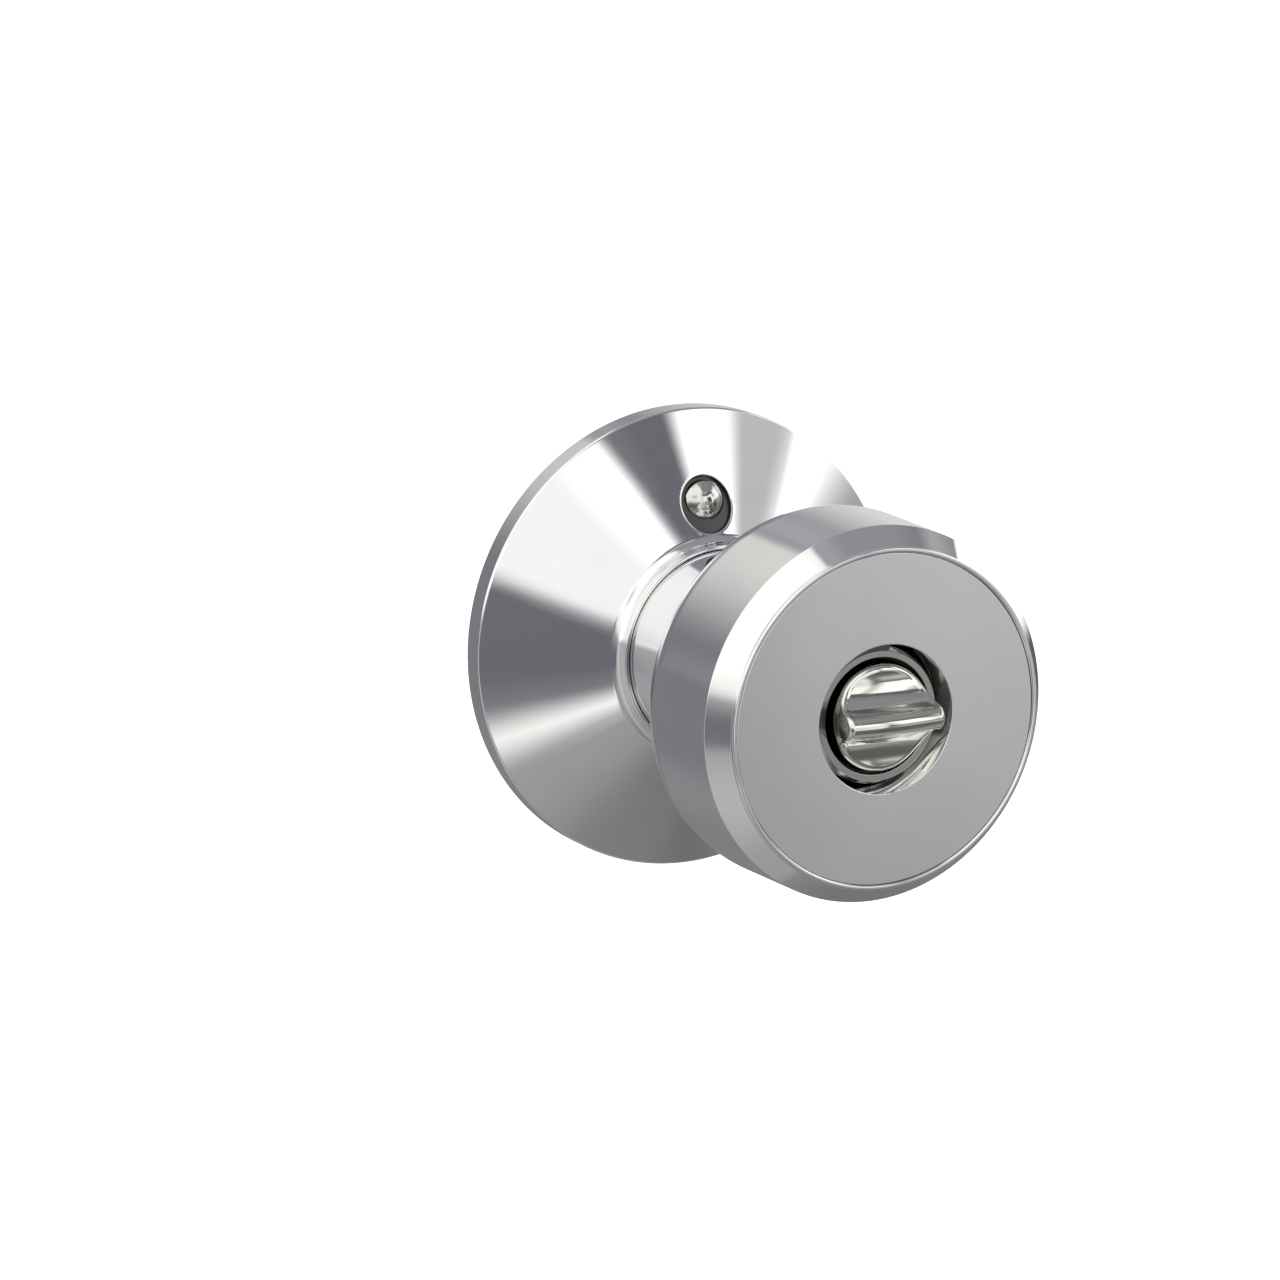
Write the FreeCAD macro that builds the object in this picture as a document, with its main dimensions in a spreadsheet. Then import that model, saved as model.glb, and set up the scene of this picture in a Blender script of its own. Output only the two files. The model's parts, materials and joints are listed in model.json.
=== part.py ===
# Inside half of a keyed entry knob lock: knob with turn button, rose, spring cage and spindle.
#
# Frame: millimetres, +Z up. The origin is on the knob's axis in the plane of the door face.
# The knob stands out of the door along -Y. "Forward" is the distance from the door face
# towards the hand, so forward = -Y, and what lies inside the door has a negative forward.

import FreeCAD, Part
import math
import os

import Sketcher

os.makedirs("parts", exist_ok=True)
doc = FreeCAD.newDocument("entry_knob_inside")
sheet = doc.addObject("Spreadsheet::Sheet", "Sizes")
pieces = []


class Size:
    """A number that also knows its formula, so that geometry can be bound to the sheet."""

    def __init__(self, value, text):
        self.value = value
        self.text = text

    def __add__(self, other):
        other = as_size(other)
        return Size(self.value + other.value, f"({self.text} + {other.text})")

    def __sub__(self, other):
        other = as_size(other)
        return Size(self.value - other.value, f"({self.text} - {other.text})")

    def __mul__(self, other):
        other = as_size(other)
        return Size(self.value * other.value, f"({self.text} * {other.text})")

    def __truediv__(self, other):
        other = as_size(other)
        return Size(self.value / other.value, f"({self.text} / {other.text})")

    def __rsub__(self, other):
        return as_size(other) - self

    def __neg__(self):
        return Size(-self.value, f"(-1 * {self.text})")


def as_size(number):
    return number if isinstance(number, Size) else Size(float(number), repr(float(number)))


def root(inside):
    return Size(math.sqrt(inside.value), f"sqrt({inside.text})")


def cosine(angle):
    return Size(math.cos(math.radians(angle.value)), f"cos({angle.text})")


def sine(angle):
    return Size(math.sin(math.radians(angle.value)), f"sin({angle.text})")


def tangent(angle):
    return Size(math.tan(math.radians(angle.value)), f"tan({angle.text})")


# Driving sizes, in millimetres and degrees
driving_sizes = [
    ("fit", 0.05, "radial gap of a turning or sliding fit"),
    ("gap", 0.3, "free gap between pieces that move past each other"),
    ("rose_radius", 33.0, "rose, over its rim"),
    ("rose_wall", 0.6, "sheet of the rose"),
    ("rim_height", 3.4, "straight rim of the rose"),
    ("rim_edge", 0.4, "rounding of the rim's front edge"),
    ("cone_rise", 8.175, "height of the rose's cone, from rim to collar"),
    ("collar_gap", 0.1, "knob's neck in the rose's collar, radial"),
    ("collar_height", 1.925, "height of the collar above the cone"),
    ("collar_fillet", 2.0, "hollow between cone and collar"),
    ("collar_edge", 0.2, "rounding of the collar's front edges"),
    ("cup_radius", 3.8, "bore of the cup that takes the bolt's head"),
    ("cup_room", 1.2, "collar to the cup's bore"),
    ("cup_depth", 0.5, "cup's floor below the lowest point of its mouth"),
    ("cup_lip", 0.35, "rounding of the cup's mouth"),
    ("bolt_radius", 2.1, "through-bolt, threaded end"),
    ("bolt_neck", 1.9, "through-bolt, neck"),
    ("bolt_hole", 2.5, "hole for the through-bolt"),
    ("bolt_head_radius", 3.45, "through-bolt, domed head"),
    ("bolt_head_side", 1.2, "through-bolt, straight side of the head"),
    ("bolt_dome_height", 2.05, "through-bolt, dome in front of the side"),
    ("thread_length", 10.5, "through-bolt, threaded end"),
    ("bolt_reach", 22.0, "through-bolt, length behind the door face"),
    ("bolt_point", 0.6, "bevel at the bolt's end"),
    ("plate_thickness", 1.6, "mounting plate, web"),
    ("plate_rim_width", 1.6, "mounting plate, rim"),
    ("plate_rim_drop", 0.9, "mounting plate, its rim below the rose's rim height"),
    ("boss_wall", 1.1, "mounting plate, wall of the boss under each cup"),
    ("hub_room", 1.4, "mounting plate, hub inside the rose's collar"),
    ("hub_drop", 4.0, "mounting plate, hub below the collar's front"),
    ("rib_width", 1.6, "mounting plate, radial rib"),
    ("rib_rise", 0.2, "mounting plate, ribs above its rim"),
    ("bush_wall", 2.15, "spindle bush, wall"),
    ("bush_flange", 1.1, "spindle bush, flange thickness"),
    ("cage_room", 0.3, "bolt hole to the cage's cup"),
    ("cage_wall", 1.2, "spring cage, sheet"),
    ("cage_end", 0.9, "spring cage, room behind the spring"),
    ("cage_tab", 1.7, "spring cage, spring tab"),
    ("flange_edge", 1.0, "spring cage, flange outside the rivet heads"),
    ("window_web", 1.275, "spring cage, metal on each side of a window"),
    ("rivet_room", 1.4, "cage cup to the rivet heads"),
    ("rivet_radius", 1.5, "cage rivets, shank"),
    ("rivet_head_radius", 2.6, "cage rivets, head"),
    ("rivet_head_height", 0.8, "cage rivets, head"),
    ("spindle_radius", 9.0, "spindle tube, outside"),
    ("spindle_wall", 1.6, "spindle tube, wall"),
    ("spindle_short", 4.0, "spindle's front end behind the knob sleeve's"),
    ("spindle_back", 36.0, "spindle, reach behind the door face"),
    ("tail_room", 1.9, "snap ring to the half-round end of the spindle"),
    ("driver_gap", 0.5, "driver plate behind the mounting plate"),
    ("driver_thickness", 1.6, "driver plate"),
    ("driver_web", 2.8, "driver plate, width round the spindle"),
    ("lug_half_width", 3.2, "driver plate, stop lug"),
    ("lug_gap", 0.8, "stop lug to the cage's wall"),
    ("stop_half_width", 2.0, "spring cage, stop"),
    ("stop_length", 2.4, "spring cage, stop, inwards from the wall"),
    ("turn_limit", 60.0, "knob's turn each way from rest"),
    ("stop_slack", 1.0, "turn left between lug and stop at the limit"),
    ("tab_half_width", 1.6, "tabs that the return spring's legs straddle"),
    ("tab_thickness", 0.8, "driver plate, spring tab"),
    ("spring_wire", 1.2, "return spring, wire"),
    ("spring_pitch", 1.5, "return spring, pitch of the coil"),
    ("washer_gap", 0.2, "thrust washer behind the cage"),
    ("washer_thickness", 0.8, "thrust washer"),
    ("washer_width", 3.5, "thrust washer, width round the spindle"),
    ("ring_groove_depth", 0.7, "snap ring groove in the spindle"),
    ("ring_thickness", 0.9, "snap ring"),
    ("ring_width", 2.0, "snap ring, width outside the spindle"),
    ("ring_opening", 2.2, "snap ring, half of its opening"),
    ("neck_radius", 14.5, "knob's neck, outside"),
    ("neck_gap", 0.8, "bush flange to the knob's neck"),
    ("neck_wall", 2.0, "knob's neck, wall"),
    ("neck_fillet", 4.0, "hollow between neck and back of the knob"),
    ("knob_radius", 26.1, "knob at its back edge"),
    ("knob_taper", 0.23, "knob's side, taper in radius towards the front"),
    ("knob_corner", 39.4, "forward height of the back corner before rounding"),
    ("side_length", 16.74, "knob's side, from the back corner to the bevel"),
    ("back_angle", 55.0, "slope of the knob's back, measured from the axis"),
    ("back_rounding", 6.5, "rounding of the knob's back edge"),
    ("shell_wall", 1.6, "knob shell, wall"),
    ("bevel_height", 3.01, "front bevel of the knob, along the axis"),
    ("bevel_width", 2.41, "front bevel of the knob, in radius"),
    ("bevel_edge", 0.2, "rounding of the bevel's back edge"),
    ("bead_width", 0.71, "bead round the face"),
    ("bead_height", 0.55, "bead in front of the bevel"),
    ("bead_edge", 0.25, "rounding of the bead"),
    ("face_inset", 0.27, "face behind the bead"),
    ("face_thickness", 1.0, "face plate"),
    ("face_gap", 0.12, "face plate to shell, radial"),
    ("recess_slope", 1.33, "recess in the face, width of its slanted wall"),
    ("recess_ledge", 0.92, "recess in the face, ledge round the hole"),
    ("recess_depth", 2.23, "recess in the face"),
    ("button_room", 0.62, "turn button in the recess's hole, radial"),
    ("core_depth", 6.14, "knob core, back of its web behind the bevel"),
    ("core_web", 2.0, "knob core, web"),
    ("hub_depth", 6.0, "knob core, hub behind the web"),
    ("core_hub_wall", 4.0, "knob core, wall of the hub"),
    ("core_rim_width", 1.8, "knob core, rim under the face"),
    ("core_hole_web", 0.925, "knob core, metal beside a lightening hole"),
    ("sleeve_flange", 3.0, "knob sleeve, flange outside the core's hub"),
    ("sleeve_flange_thickness", 1.5, "knob sleeve, flange"),
    ("catch_position", 9.1, "knob catch, forward of the neck's back end"),
    ("catch_radius", 1.5, "knob catch, stud"),
    ("catch_bevel", 0.5, "knob catch, bevel of its tip"),
    ("catch_short", 1.1, "knob catch, tip below the sleeve's outside"),
    ("catch_clearance", 0.25, "knob catch in the sleeve's hole, radial"),
    ("tool_hole", 1.6, "hole in the neck for the release tool"),
    ("leaf_half_width", 2.6, "catch spring, half width"),
    ("leaf_thickness", 0.5, "catch spring"),
    ("leaf_end", 2.0, "catch spring, fixed end behind the spindle's front"),
    ("leaf_free", 2.5, "catch spring, free end behind the catch"),
    ("button_sleeve_wall", 2.3, "button sleeve, wall"),
    ("button_sleeve_step", 2.0, "button sleeve, back in front of the core's hub"),
    ("button_sleeve_floor", 2.0, "button sleeve, floor"),
    ("washer_room", 1.4, "room for the curved washer under the button"),
    ("button_radius", 7.4, "turn button"),
    ("button_rise", 4.07, "turn button, top of the grip bar in front of the face"),
    ("scoop_radius", 4.2, "turn button, hollow either side of the bar"),
    ("scoop_drop", 0.6, "turn button, axis of the hollows below the bar's top"),
    ("bar_half_width", 1.5, "turn button, grip bar"),
    ("bar_rounding", 1.2, "turn button, rounding of the grip bar"),
    ("button_edge", 0.7, "turn button, rounding of its front rim"),
    ("stem_radius", 4.5, "turn button, stem"),
    ("stem_end", 0.55, "turn button, stem behind the clip"),
    ("clip_groove_depth", 0.5, "turn button, groove for the clip"),
    ("clip_gap", 0.35, "button clip behind the sleeve's floor"),
    ("clip_thickness", 0.7, "button clip"),
    ("clip_width", 1.7, "button clip, width outside the stem"),
    ("clip_opening", 3.0, "button clip, half of its opening"),
    ("spring_washer_inset", 0.2, "curved washer inside the button's radius"),
    ("spring_washer_bend", 30.0, "curved washer, radius of its bend"),
    ("spring_washer_sheet", 0.3, "curved washer, sheet"),
    ("bar_width", 6.0, "lock bar, width"),
    ("bar_thickness", 2.0, "lock bar, thickness"),
    ("bar_seat", 4.1, "lock bar, depth in the button's head"),
    ("bar_tail", 6.0, "lock bar, reach behind the spindle"),
]


class Sizes:
    """The sheet's sizes by name, such as size.rose_radius."""


size = Sizes()
for row, (alias, value, meaning) in enumerate(driving_sizes, start=1):
    sheet.set(f"A{row}", alias)
    sheet.set(f"B{row}", str(value))
    sheet.set(f"C{row}", meaning)
    sheet.setAlias(f"B{row}", alias)
    setattr(size, alias, Size(value, f"Sizes.{alias}"))
doc.recompute()

# Whole turns of the return spring between its legs
spring_turns = 2

# Sizes that follow from the driving ones, from the rose inwards
size.cone_top = size.rim_height + size.cone_rise
size.collar_front = size.cone_top + size.collar_height
size.collar_inside = size.neck_radius + size.collar_gap
size.collar_radius = size.collar_inside + size.rose_wall
size.bolt_offset = size.collar_radius + size.cup_radius + size.cup_room
size.cone_slope = size.cone_rise / (size.rose_radius - size.collar_radius)
cup_low_side = size.bolt_offset + size.cup_radius - size.collar_radius
size.cup_floor = size.cone_top - size.cone_slope * cup_low_side - size.cup_depth

# Plate, bush and cage behind the rose
size.plate_rim_height = size.rim_height - size.plate_rim_drop
size.boss_top = size.cup_floor - size.rose_wall
size.hub_radius = size.collar_inside - size.hub_room
size.hub_front = size.collar_front - size.hub_drop
size.bush_bore = size.spindle_radius + size.fit
size.bush_radius = size.bush_bore + size.bush_wall
size.bush_front = size.hub_front + size.bush_flange
size.cage_radius = size.bolt_offset - size.bolt_hole - size.cage_room
size.cage_inside = size.cage_radius - size.cage_wall
size.rivet_circle = size.cage_radius + size.rivet_room + size.rivet_head_radius
size.flange_radius = size.rivet_circle + size.rivet_head_radius + size.flange_edge
size.driver_back = size.driver_gap + size.driver_thickness
size.coil_front = size.driver_back + size.gap
size.cage_floor = size.coil_front + size.spring_pitch * (spring_turns + 1) + size.spring_wire + size.cage_end
size.cage_depth = size.cage_floor + size.cage_wall
size.cage_tab_top = size.cage_inside - size.cage_tab
size.tab_outside = size.cage_tab_top - size.gap
size.tab_inside = size.tab_outside - size.tab_thickness
size.spring_radius = size.tab_inside - size.gap - size.spring_wire / 2
size.washer_front = size.cage_depth + size.washer_gap
size.ring_front = size.washer_front + size.washer_thickness
size.ring_back = size.ring_front + size.ring_thickness
size.ring_groove = size.spindle_radius - size.ring_groove_depth

# Knob, from its side to its face
size.neck_back = size.bush_front + size.neck_gap
size.neck_bore = size.neck_radius - size.neck_wall
size.knob_front_radius = size.knob_radius - size.knob_taper
size.bevel_back = size.knob_corner + size.side_length
size.bevel_front = size.bevel_back + size.bevel_height
size.bead_radius = size.knob_front_radius - size.bevel_width
size.bead_front = size.bevel_front + size.bead_height
size.mouth_radius = size.bead_radius - size.bead_width
size.face_front = size.bead_front - size.face_inset
size.face_back = size.face_front - size.face_thickness
size.button_hole = size.button_radius + size.button_room
size.recess_floor_radius = size.button_hole + size.recess_ledge
size.recess_radius = size.recess_floor_radius + size.recess_slope
size.recess_floor = size.face_front - size.recess_depth
size.recess_back = size.recess_floor - size.face_thickness

# Core, sleeves, spindle and catch inside the knob
size.core_web_back = size.bevel_back - size.core_depth
size.sleeve_front = size.core_web_back - size.hub_depth
size.spindle_front = size.sleeve_front - size.spindle_short
size.spindle_inside = size.spindle_radius - size.spindle_wall
size.tail_start = size.ring_back + size.tail_room
size.catch_forward = size.neck_back + size.catch_position
size.catch_tip = size.neck_bore - size.catch_short
leaf_corner = size.spindle_inside * size.spindle_inside - size.leaf_half_width * size.leaf_half_width
size.leaf_offset = root(leaf_corner) - size.fit / 2

# Turn button and lock bar
size.button_sleeve_radius = size.button_radius + size.gap + size.button_sleeve_wall
size.button_sleeve_back = size.sleeve_front + size.button_sleeve_step
size.button_floor = size.button_sleeve_back + size.button_sleeve_floor
size.button_back = size.button_floor + size.washer_room
size.button_front = size.face_front + size.button_rise
size.scoop_middle = size.button_front - size.scoop_drop
size.clip_back = size.button_sleeve_back - size.clip_gap - size.clip_thickness
size.clip_groove = size.stem_radius - size.clip_groove_depth
size.stem_back = size.clip_back - size.stem_end
size.core_hub = size.button_sleeve_radius + size.core_hub_wall
size.bar_front = size.button_back + size.bar_seat


# Helpers for bodies, sketches and features

def new_body(name):
    body = doc.addObject("PartDesign::Body", name)
    pieces.append(body)
    return body


def origin_plane(body, role):
    return next(item for item in body.Origin.OriginFeatures if item.Role == role)


def sketch_on(body, name, role, offset=0):
    """A sketch on a plane of the body's own origin, moved along its normal by offset."""
    sketch = body.newObject("Sketcher::SketchObject", name)
    sketch.AttachmentSupport = [(origin_plane(body, role), "")]
    sketch.MapMode = "FlatFace"
    sketch.setExpression(".AttachmentOffset.Base.z", as_size(offset).text)
    return sketch


def facing_sketch(body, name, forward):
    """A sketch across the knob's axis that faces the hand, at a forward distance."""
    return sketch_on(body, name, "XZ_Plane", forward)


def place(sketch, geometry, point, x, y):
    """Ties a point of the sketch to its place, by formula."""
    for kind, distance in (("DistanceX", x), ("DistanceY", y)):
        row = sketch.addConstraint(Sketcher.Constraint(kind, -1, 1, geometry, point, distance.value))
        sketch.setExpression(f"Constraints[{row}]", distance.text)


def outline(sketch, points):
    """A closed outline of straight lines through the points."""
    points = [(as_size(x), as_size(y)) for x, y in points]
    first = sketch.GeometryCount
    for (x0, y0), (x1, y1) in zip(points, points[1:] + points[:1]):
        start = FreeCAD.Vector(x0.value, y0.value, 0)
        end = FreeCAD.Vector(x1.value, y1.value, 0)
        sketch.addGeometry(Part.LineSegment(start, end), False)
    for step, (x, y) in enumerate(points):
        following = first + (step + 1) % len(points)
        sketch.addConstraint(Sketcher.Constraint("Coincident", first + step, 2, following, 1))
        place(sketch, first + step, 1, x, y)


def rectangle(sketch, left, bottom, right, top):
    outline(sketch, [(left, bottom), (right, bottom), (right, top), (left, top)])


def circle(sketch, x, y, radius):
    x, y, radius = as_size(x), as_size(y), as_size(radius)
    shape = Part.Circle(FreeCAD.Vector(x.value, y.value, 0), FreeCAD.Vector(0, 0, 1), radius.value)
    geometry = sketch.addGeometry(shape, False)
    place(sketch, geometry, 3, x, y)
    row = sketch.addConstraint(Sketcher.Constraint("Radius", geometry, radius.value))
    sketch.setExpression(f"Constraints[{row}]", radius.text)


def section(body, name, points):
    """A half section to turn round the axis: points are (radius, forward)."""
    sketch = sketch_on(body, name, "XY_Plane")
    outline(sketch, [(radius, -as_size(forward)) for radius, forward in points])
    return sketch


def turned(body, name, points):
    """A full turn of a half section."""
    sketch = section(body, name + "_section", points)
    feature = body.newObject("PartDesign::Revolution", name)
    feature.Profile = sketch
    feature.ReferenceAxis = (sketch, ["V_Axis"])
    feature.Angle = 360
    doc.recompute()
    return feature


def turned_groove(body, name, points):
    sketch = section(body, name + "_section", points)
    feature = body.newObject("PartDesign::Groove", name)
    feature.Profile = sketch
    feature.ReferenceAxis = (sketch, ["V_Axis"])
    feature.Angle = 360
    doc.recompute()
    return feature


def pad(body, sketch, name, length):
    """Adds the sketch's area forward of it."""
    feature = body.newObject("PartDesign::Pad", name)
    feature.Profile = sketch
    feature.setExpression("Length", as_size(length).text)
    doc.recompute()
    return feature


def pocket(body, sketch, name, length, against_normal=True):
    """Cuts the sketch's area, against the sketch's normal or along it."""
    feature = body.newObject("PartDesign::Pocket", name)
    feature.Profile = sketch
    feature.Reversed = not against_normal
    feature.setExpression("Length", as_size(length).text)
    doc.recompute()
    return feature


def polar(body, features, sketch, name, count):
    """Repeats features round the axis of a facing sketch."""
    pattern = body.newObject("PartDesign::PolarPattern", name)
    pattern.Originals = features
    pattern.Axis = (sketch, ["N_Axis"])
    pattern.Angle = 360
    pattern.Occurrences = count
    body.Tip = pattern
    doc.recompute()
    return pattern


def ring_edges(shape, radius, forward):
    """Names of the full circles round the axis at this radius and forward distance."""
    found = []
    for index, edge in enumerate(shape.Edges, start=1):
        curve = edge.Curve
        if not isinstance(curve, Part.Circle) or abs(curve.Axis.y) < 0.999:
            continue
        centred = math.hypot(curve.Center.x, curve.Center.z) < 0.01
        if centred and abs(curve.Radius - radius.value) < 0.01 and abs(curve.Center.y + forward.value) < 0.01:
            found.append(f"Edge{index}")
    return found


def rounded(body, base, name, radius, edges):
    """Rounds named edges of the feature before it."""
    feature = body.newObject("PartDesign::Fillet", name)
    feature.Base = (base, edges)
    feature.setExpression("Radius", as_size(radius).text)
    doc.recompute()
    return feature


def plain(kind, name, forward=0, **bindings):
    """A Part primitive whose Z axis points forward, with its base at a forward distance."""
    primitive = doc.addObject(kind, name)
    for prop, value in bindings.items():
        primitive.setExpression(prop, as_size(value).text)
    primitive.Placement.Rotation = FreeCAD.Rotation(FreeCAD.Vector(1, 0, 0), 90)
    primitive.setExpression(".Placement.Base.y", (-as_size(forward)).text)
    return primitive


# Rose

def make_rose():
    """The stamped rose: rim, cone, collar and the two drawn cups for the bolt heads."""
    body = new_body("rose")
    drop = size.rose_wall * (root(size.cone_slope * size.cone_slope + 1) - size.cone_slope)
    rim_inside = size.rose_radius - size.rose_wall
    shell = turned(body, "rose_shell", [
        (size.rose_radius, 0),
        (size.rose_radius, size.rim_height),
        (size.collar_radius, size.cone_top),
        (size.collar_radius, size.collar_front),
        (size.collar_inside, size.collar_front),
        (size.collar_inside, size.cone_top - drop),
        (rim_inside, size.rim_height - drop),
        (rim_inside, 0),
    ])
    rounded(body, shell, "rose_inner_bend", size.collar_fillet + size.rose_wall,
            ring_edges(shell.Shape, size.collar_inside, size.cone_top - drop))

    # The cups run up through the cone, and what stands out in front of it is turned off.
    outsides = facing_sketch(body, "cup_outline", size.boss_top)
    bores = facing_sketch(body, "cup_bores", size.cup_floor)
    holes = facing_sketch(body, "cup_bolt_holes", size.cup_floor)
    for side in (1, -1):
        circle(outsides, 0, size.bolt_offset * side, size.cup_radius + size.rose_wall)
        circle(bores, 0, size.bolt_offset * side, size.cup_radius)
        circle(holes, 0, size.bolt_offset * side, size.bolt_hole)
    pad(body, outsides, "rose_cups", size.cone_top - size.boss_top)
    trimmed = turned_groove(body, "rose_cup_trim", [
        (size.rose_radius, size.rim_height),
        (size.rose_radius, size.collar_front),
        (size.collar_radius, size.collar_front),
        (size.collar_radius, size.cone_top),
    ])
    hollow = rounded(body, trimmed, "rose_hollow", size.collar_fillet,
                     ring_edges(trimmed.Shape, size.collar_radius, size.cone_top))
    rim = rounded(body, hollow, "rose_rim_edge", size.rim_edge,
                  ring_edges(hollow.Shape, size.rose_radius, size.rim_height))
    lip_edges = ring_edges(rim.Shape, size.collar_radius, size.collar_front)
    lip_edges += ring_edges(rim.Shape, size.collar_inside, size.collar_front)
    rounded(body, rim, "rose_collar_lip", size.collar_edge, lip_edges)
    bored = pocket(body, bores, "rose_cup_bores", size.cone_top, against_normal=False)
    mouths = []
    for index, edge in enumerate(bored.Shape.Edges, start=1):
        box = edge.BoundBox
        as_wide = abs(box.XMax - size.cup_radius.value) < 0.02 and abs(box.XMin + size.cup_radius.value) < 0.02
        if as_wide and box.YMax < -size.cup_floor.value - size.fit.value:
            mouths.append(f"Edge{index}")
    rounded(body, bored, "rose_cup_lips", size.cup_lip, mouths)
    pocket(body, holes, "rose_bolt_holes", size.rose_wall * 2)
    return body


# Fixed pieces behind the rose

def make_mounting_plate():
    """The cast plate under the rose, with bosses below the cups and a hub for the bush."""
    body = new_body("mounting_plate")
    rim_radius = size.rose_radius - size.rose_wall - size.gap
    rim_inside = rim_radius - size.plate_rim_width
    turned(body, "plate_web", [
        (size.bush_radius, 0),
        (rim_radius, 0),
        (rim_radius, size.plate_rim_height),
        (rim_inside, size.plate_rim_height),
        (rim_inside, size.plate_thickness),
        (size.hub_radius, size.plate_thickness),
        (size.hub_radius, size.hub_front),
        (size.bush_radius, size.hub_front),
    ])
    rib = facing_sketch(body, "rib_outline", 0)
    rectangle(rib, size.hub_radius - size.fit, -size.rib_width / 2, rim_inside + size.fit, size.rib_width / 2)
    ribs = pad(body, rib, "plate_rib", size.plate_rim_height + size.rib_rise)
    polar(body, [ribs], rib, "plate_ribs", 6)
    bosses = facing_sketch(body, "boss_outline", 0)
    holes = facing_sketch(body, "plate_bolt_holes", 0)
    for side in (1, -1):
        circle(bosses, 0, size.bolt_offset * side, size.bolt_hole + size.boss_wall)
        circle(holes, 0, size.bolt_offset * side, size.bolt_hole)
    pad(body, bosses, "plate_bosses", size.boss_top)
    pocket(body, holes, "plate_bores", size.boss_top + 1, against_normal=False)
    rivet_hole = facing_sketch(body, "plate_rivet_hole", 0)
    diagonal = size.rivet_circle / root(as_size(2))
    circle(rivet_hole, diagonal, diagonal, size.rivet_radius)
    hole = pocket(body, rivet_hole, "plate_rivet_bore", size.plate_thickness + 1, against_normal=False)
    polar(body, [hole], rivet_hole, "plate_rivet_holes", 4)
    return body


def make_spindle_bush():
    body = new_body("spindle_bush")
    turned(body, "bush_turning", [
        (size.bush_bore, 0),
        (size.bush_radius, 0),
        (size.bush_radius, size.hub_front),
        (size.hub_radius, size.hub_front),
        (size.hub_radius, size.bush_front),
        (size.bush_bore, size.bush_front),
    ])
    return body


def stop_angle():
    """Angle of the right stop above the horizontal, so that the lug meets it at the turn limit."""
    reach = size.cage_inside - size.stop_length
    lug = Size(math.degrees(math.asin(size.lug_half_width.value / reach.value)),
               f"asin({size.lug_half_width.text} / {reach.text}) / 1 deg")
    stop = Size(math.degrees(math.asin(size.stop_half_width.value / reach.value)),
                f"asin({size.stop_half_width.text} / {reach.text}) / 1 deg")
    return as_size(90) - size.turn_limit - size.stop_slack - lug - stop


def make_spring_cage():
    """The pressed cage behind the plate, with its stops, spring tab and windows."""
    body = new_body("spring_cage")
    turned(body, "cage_pressing", [
        (size.cage_inside, 0),
        (size.flange_radius, 0),
        (size.flange_radius, -size.cage_wall),
        (size.cage_radius, -size.cage_wall),
        (size.cage_radius, -size.cage_depth),
        (size.bush_bore, -size.cage_depth),
        (size.bush_bore, -size.cage_floor),
        (size.cage_inside, -size.cage_floor),
    ])
    stops = facing_sketch(body, "stop_outline", -size.driver_back)
    angle = stop_angle()
    along, across = cosine(angle), sine(angle)
    near, far = size.cage_inside - size.stop_length, size.cage_inside + size.cage_wall / 2
    half = size.stop_half_width
    corners = [(near, -half), (far, -half), (far, half), (near, half)]
    right = [(along * radius - across * shift, across * radius + along * shift) for radius, shift in corners]
    outline(stops, right)
    outline(stops, [(-x, y) for x, y in right])
    pad(body, stops, "cage_stops", size.driver_thickness)

    tab_back = size.cage_floor + size.cage_wall / 2
    tab_front = size.driver_back + size.driver_gap
    tab = facing_sketch(body, "tab_outline", -tab_back)
    rectangle(tab, -size.tab_half_width, -far, size.tab_half_width, -size.cage_tab_top)
    pad(body, tab, "cage_tab", tab_back - tab_front)

    holes = facing_sketch(body, "cage_bolt_holes", 0)
    for side in (1, -1):
        circle(holes, 0, size.bolt_offset * side, size.bolt_hole)
    pocket(body, holes, "cage_bolt_bores", size.cage_wall * 2)
    rivet_hole = facing_sketch(body, "cage_rivet_hole", 0)
    diagonal = size.rivet_circle / root(as_size(2))
    circle(rivet_hole, diagonal, diagonal, size.rivet_radius)
    hole = pocket(body, rivet_hole, "cage_rivet_bore", size.cage_wall * 2)
    polar(body, [hole], rivet_hole, "cage_rivet_holes", 4)
    window = facing_sketch(body, "cage_window_outline", -size.cage_floor + size.fit)
    window_radius = (size.cage_inside - size.bush_bore) / 2 - size.window_web
    circle(window, 0, (size.cage_inside + size.bush_bore) / 2, window_radius)
    opening = pocket(body, window, "cage_window", size.cage_wall * 2)
    polar(body, [opening], window, "cage_windows", 3)
    return body


def make_cage_rivets():
    """Four rivets, one group of like fasteners."""
    body = new_body("cage_rivets")
    diagonal = size.rivet_circle / root(as_size(2))
    back = -size.cage_wall
    layers = [
        ("rivet_tail", back - size.rivet_head_height, size.rivet_head_radius, size.rivet_head_height),
        ("rivet_shank", back, size.rivet_radius, size.cage_wall + size.plate_thickness),
        ("rivet_head", size.plate_thickness, size.rivet_head_radius, size.rivet_head_height),
    ]
    features = []
    for name, forward, radius, length in layers:
        sketch = facing_sketch(body, name + "_outline", forward)
        circle(sketch, diagonal, diagonal, radius)
        features.append(pad(body, sketch, name, length))
    polar(body, features, sketch, "rivet_group", 4)
    return body


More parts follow.
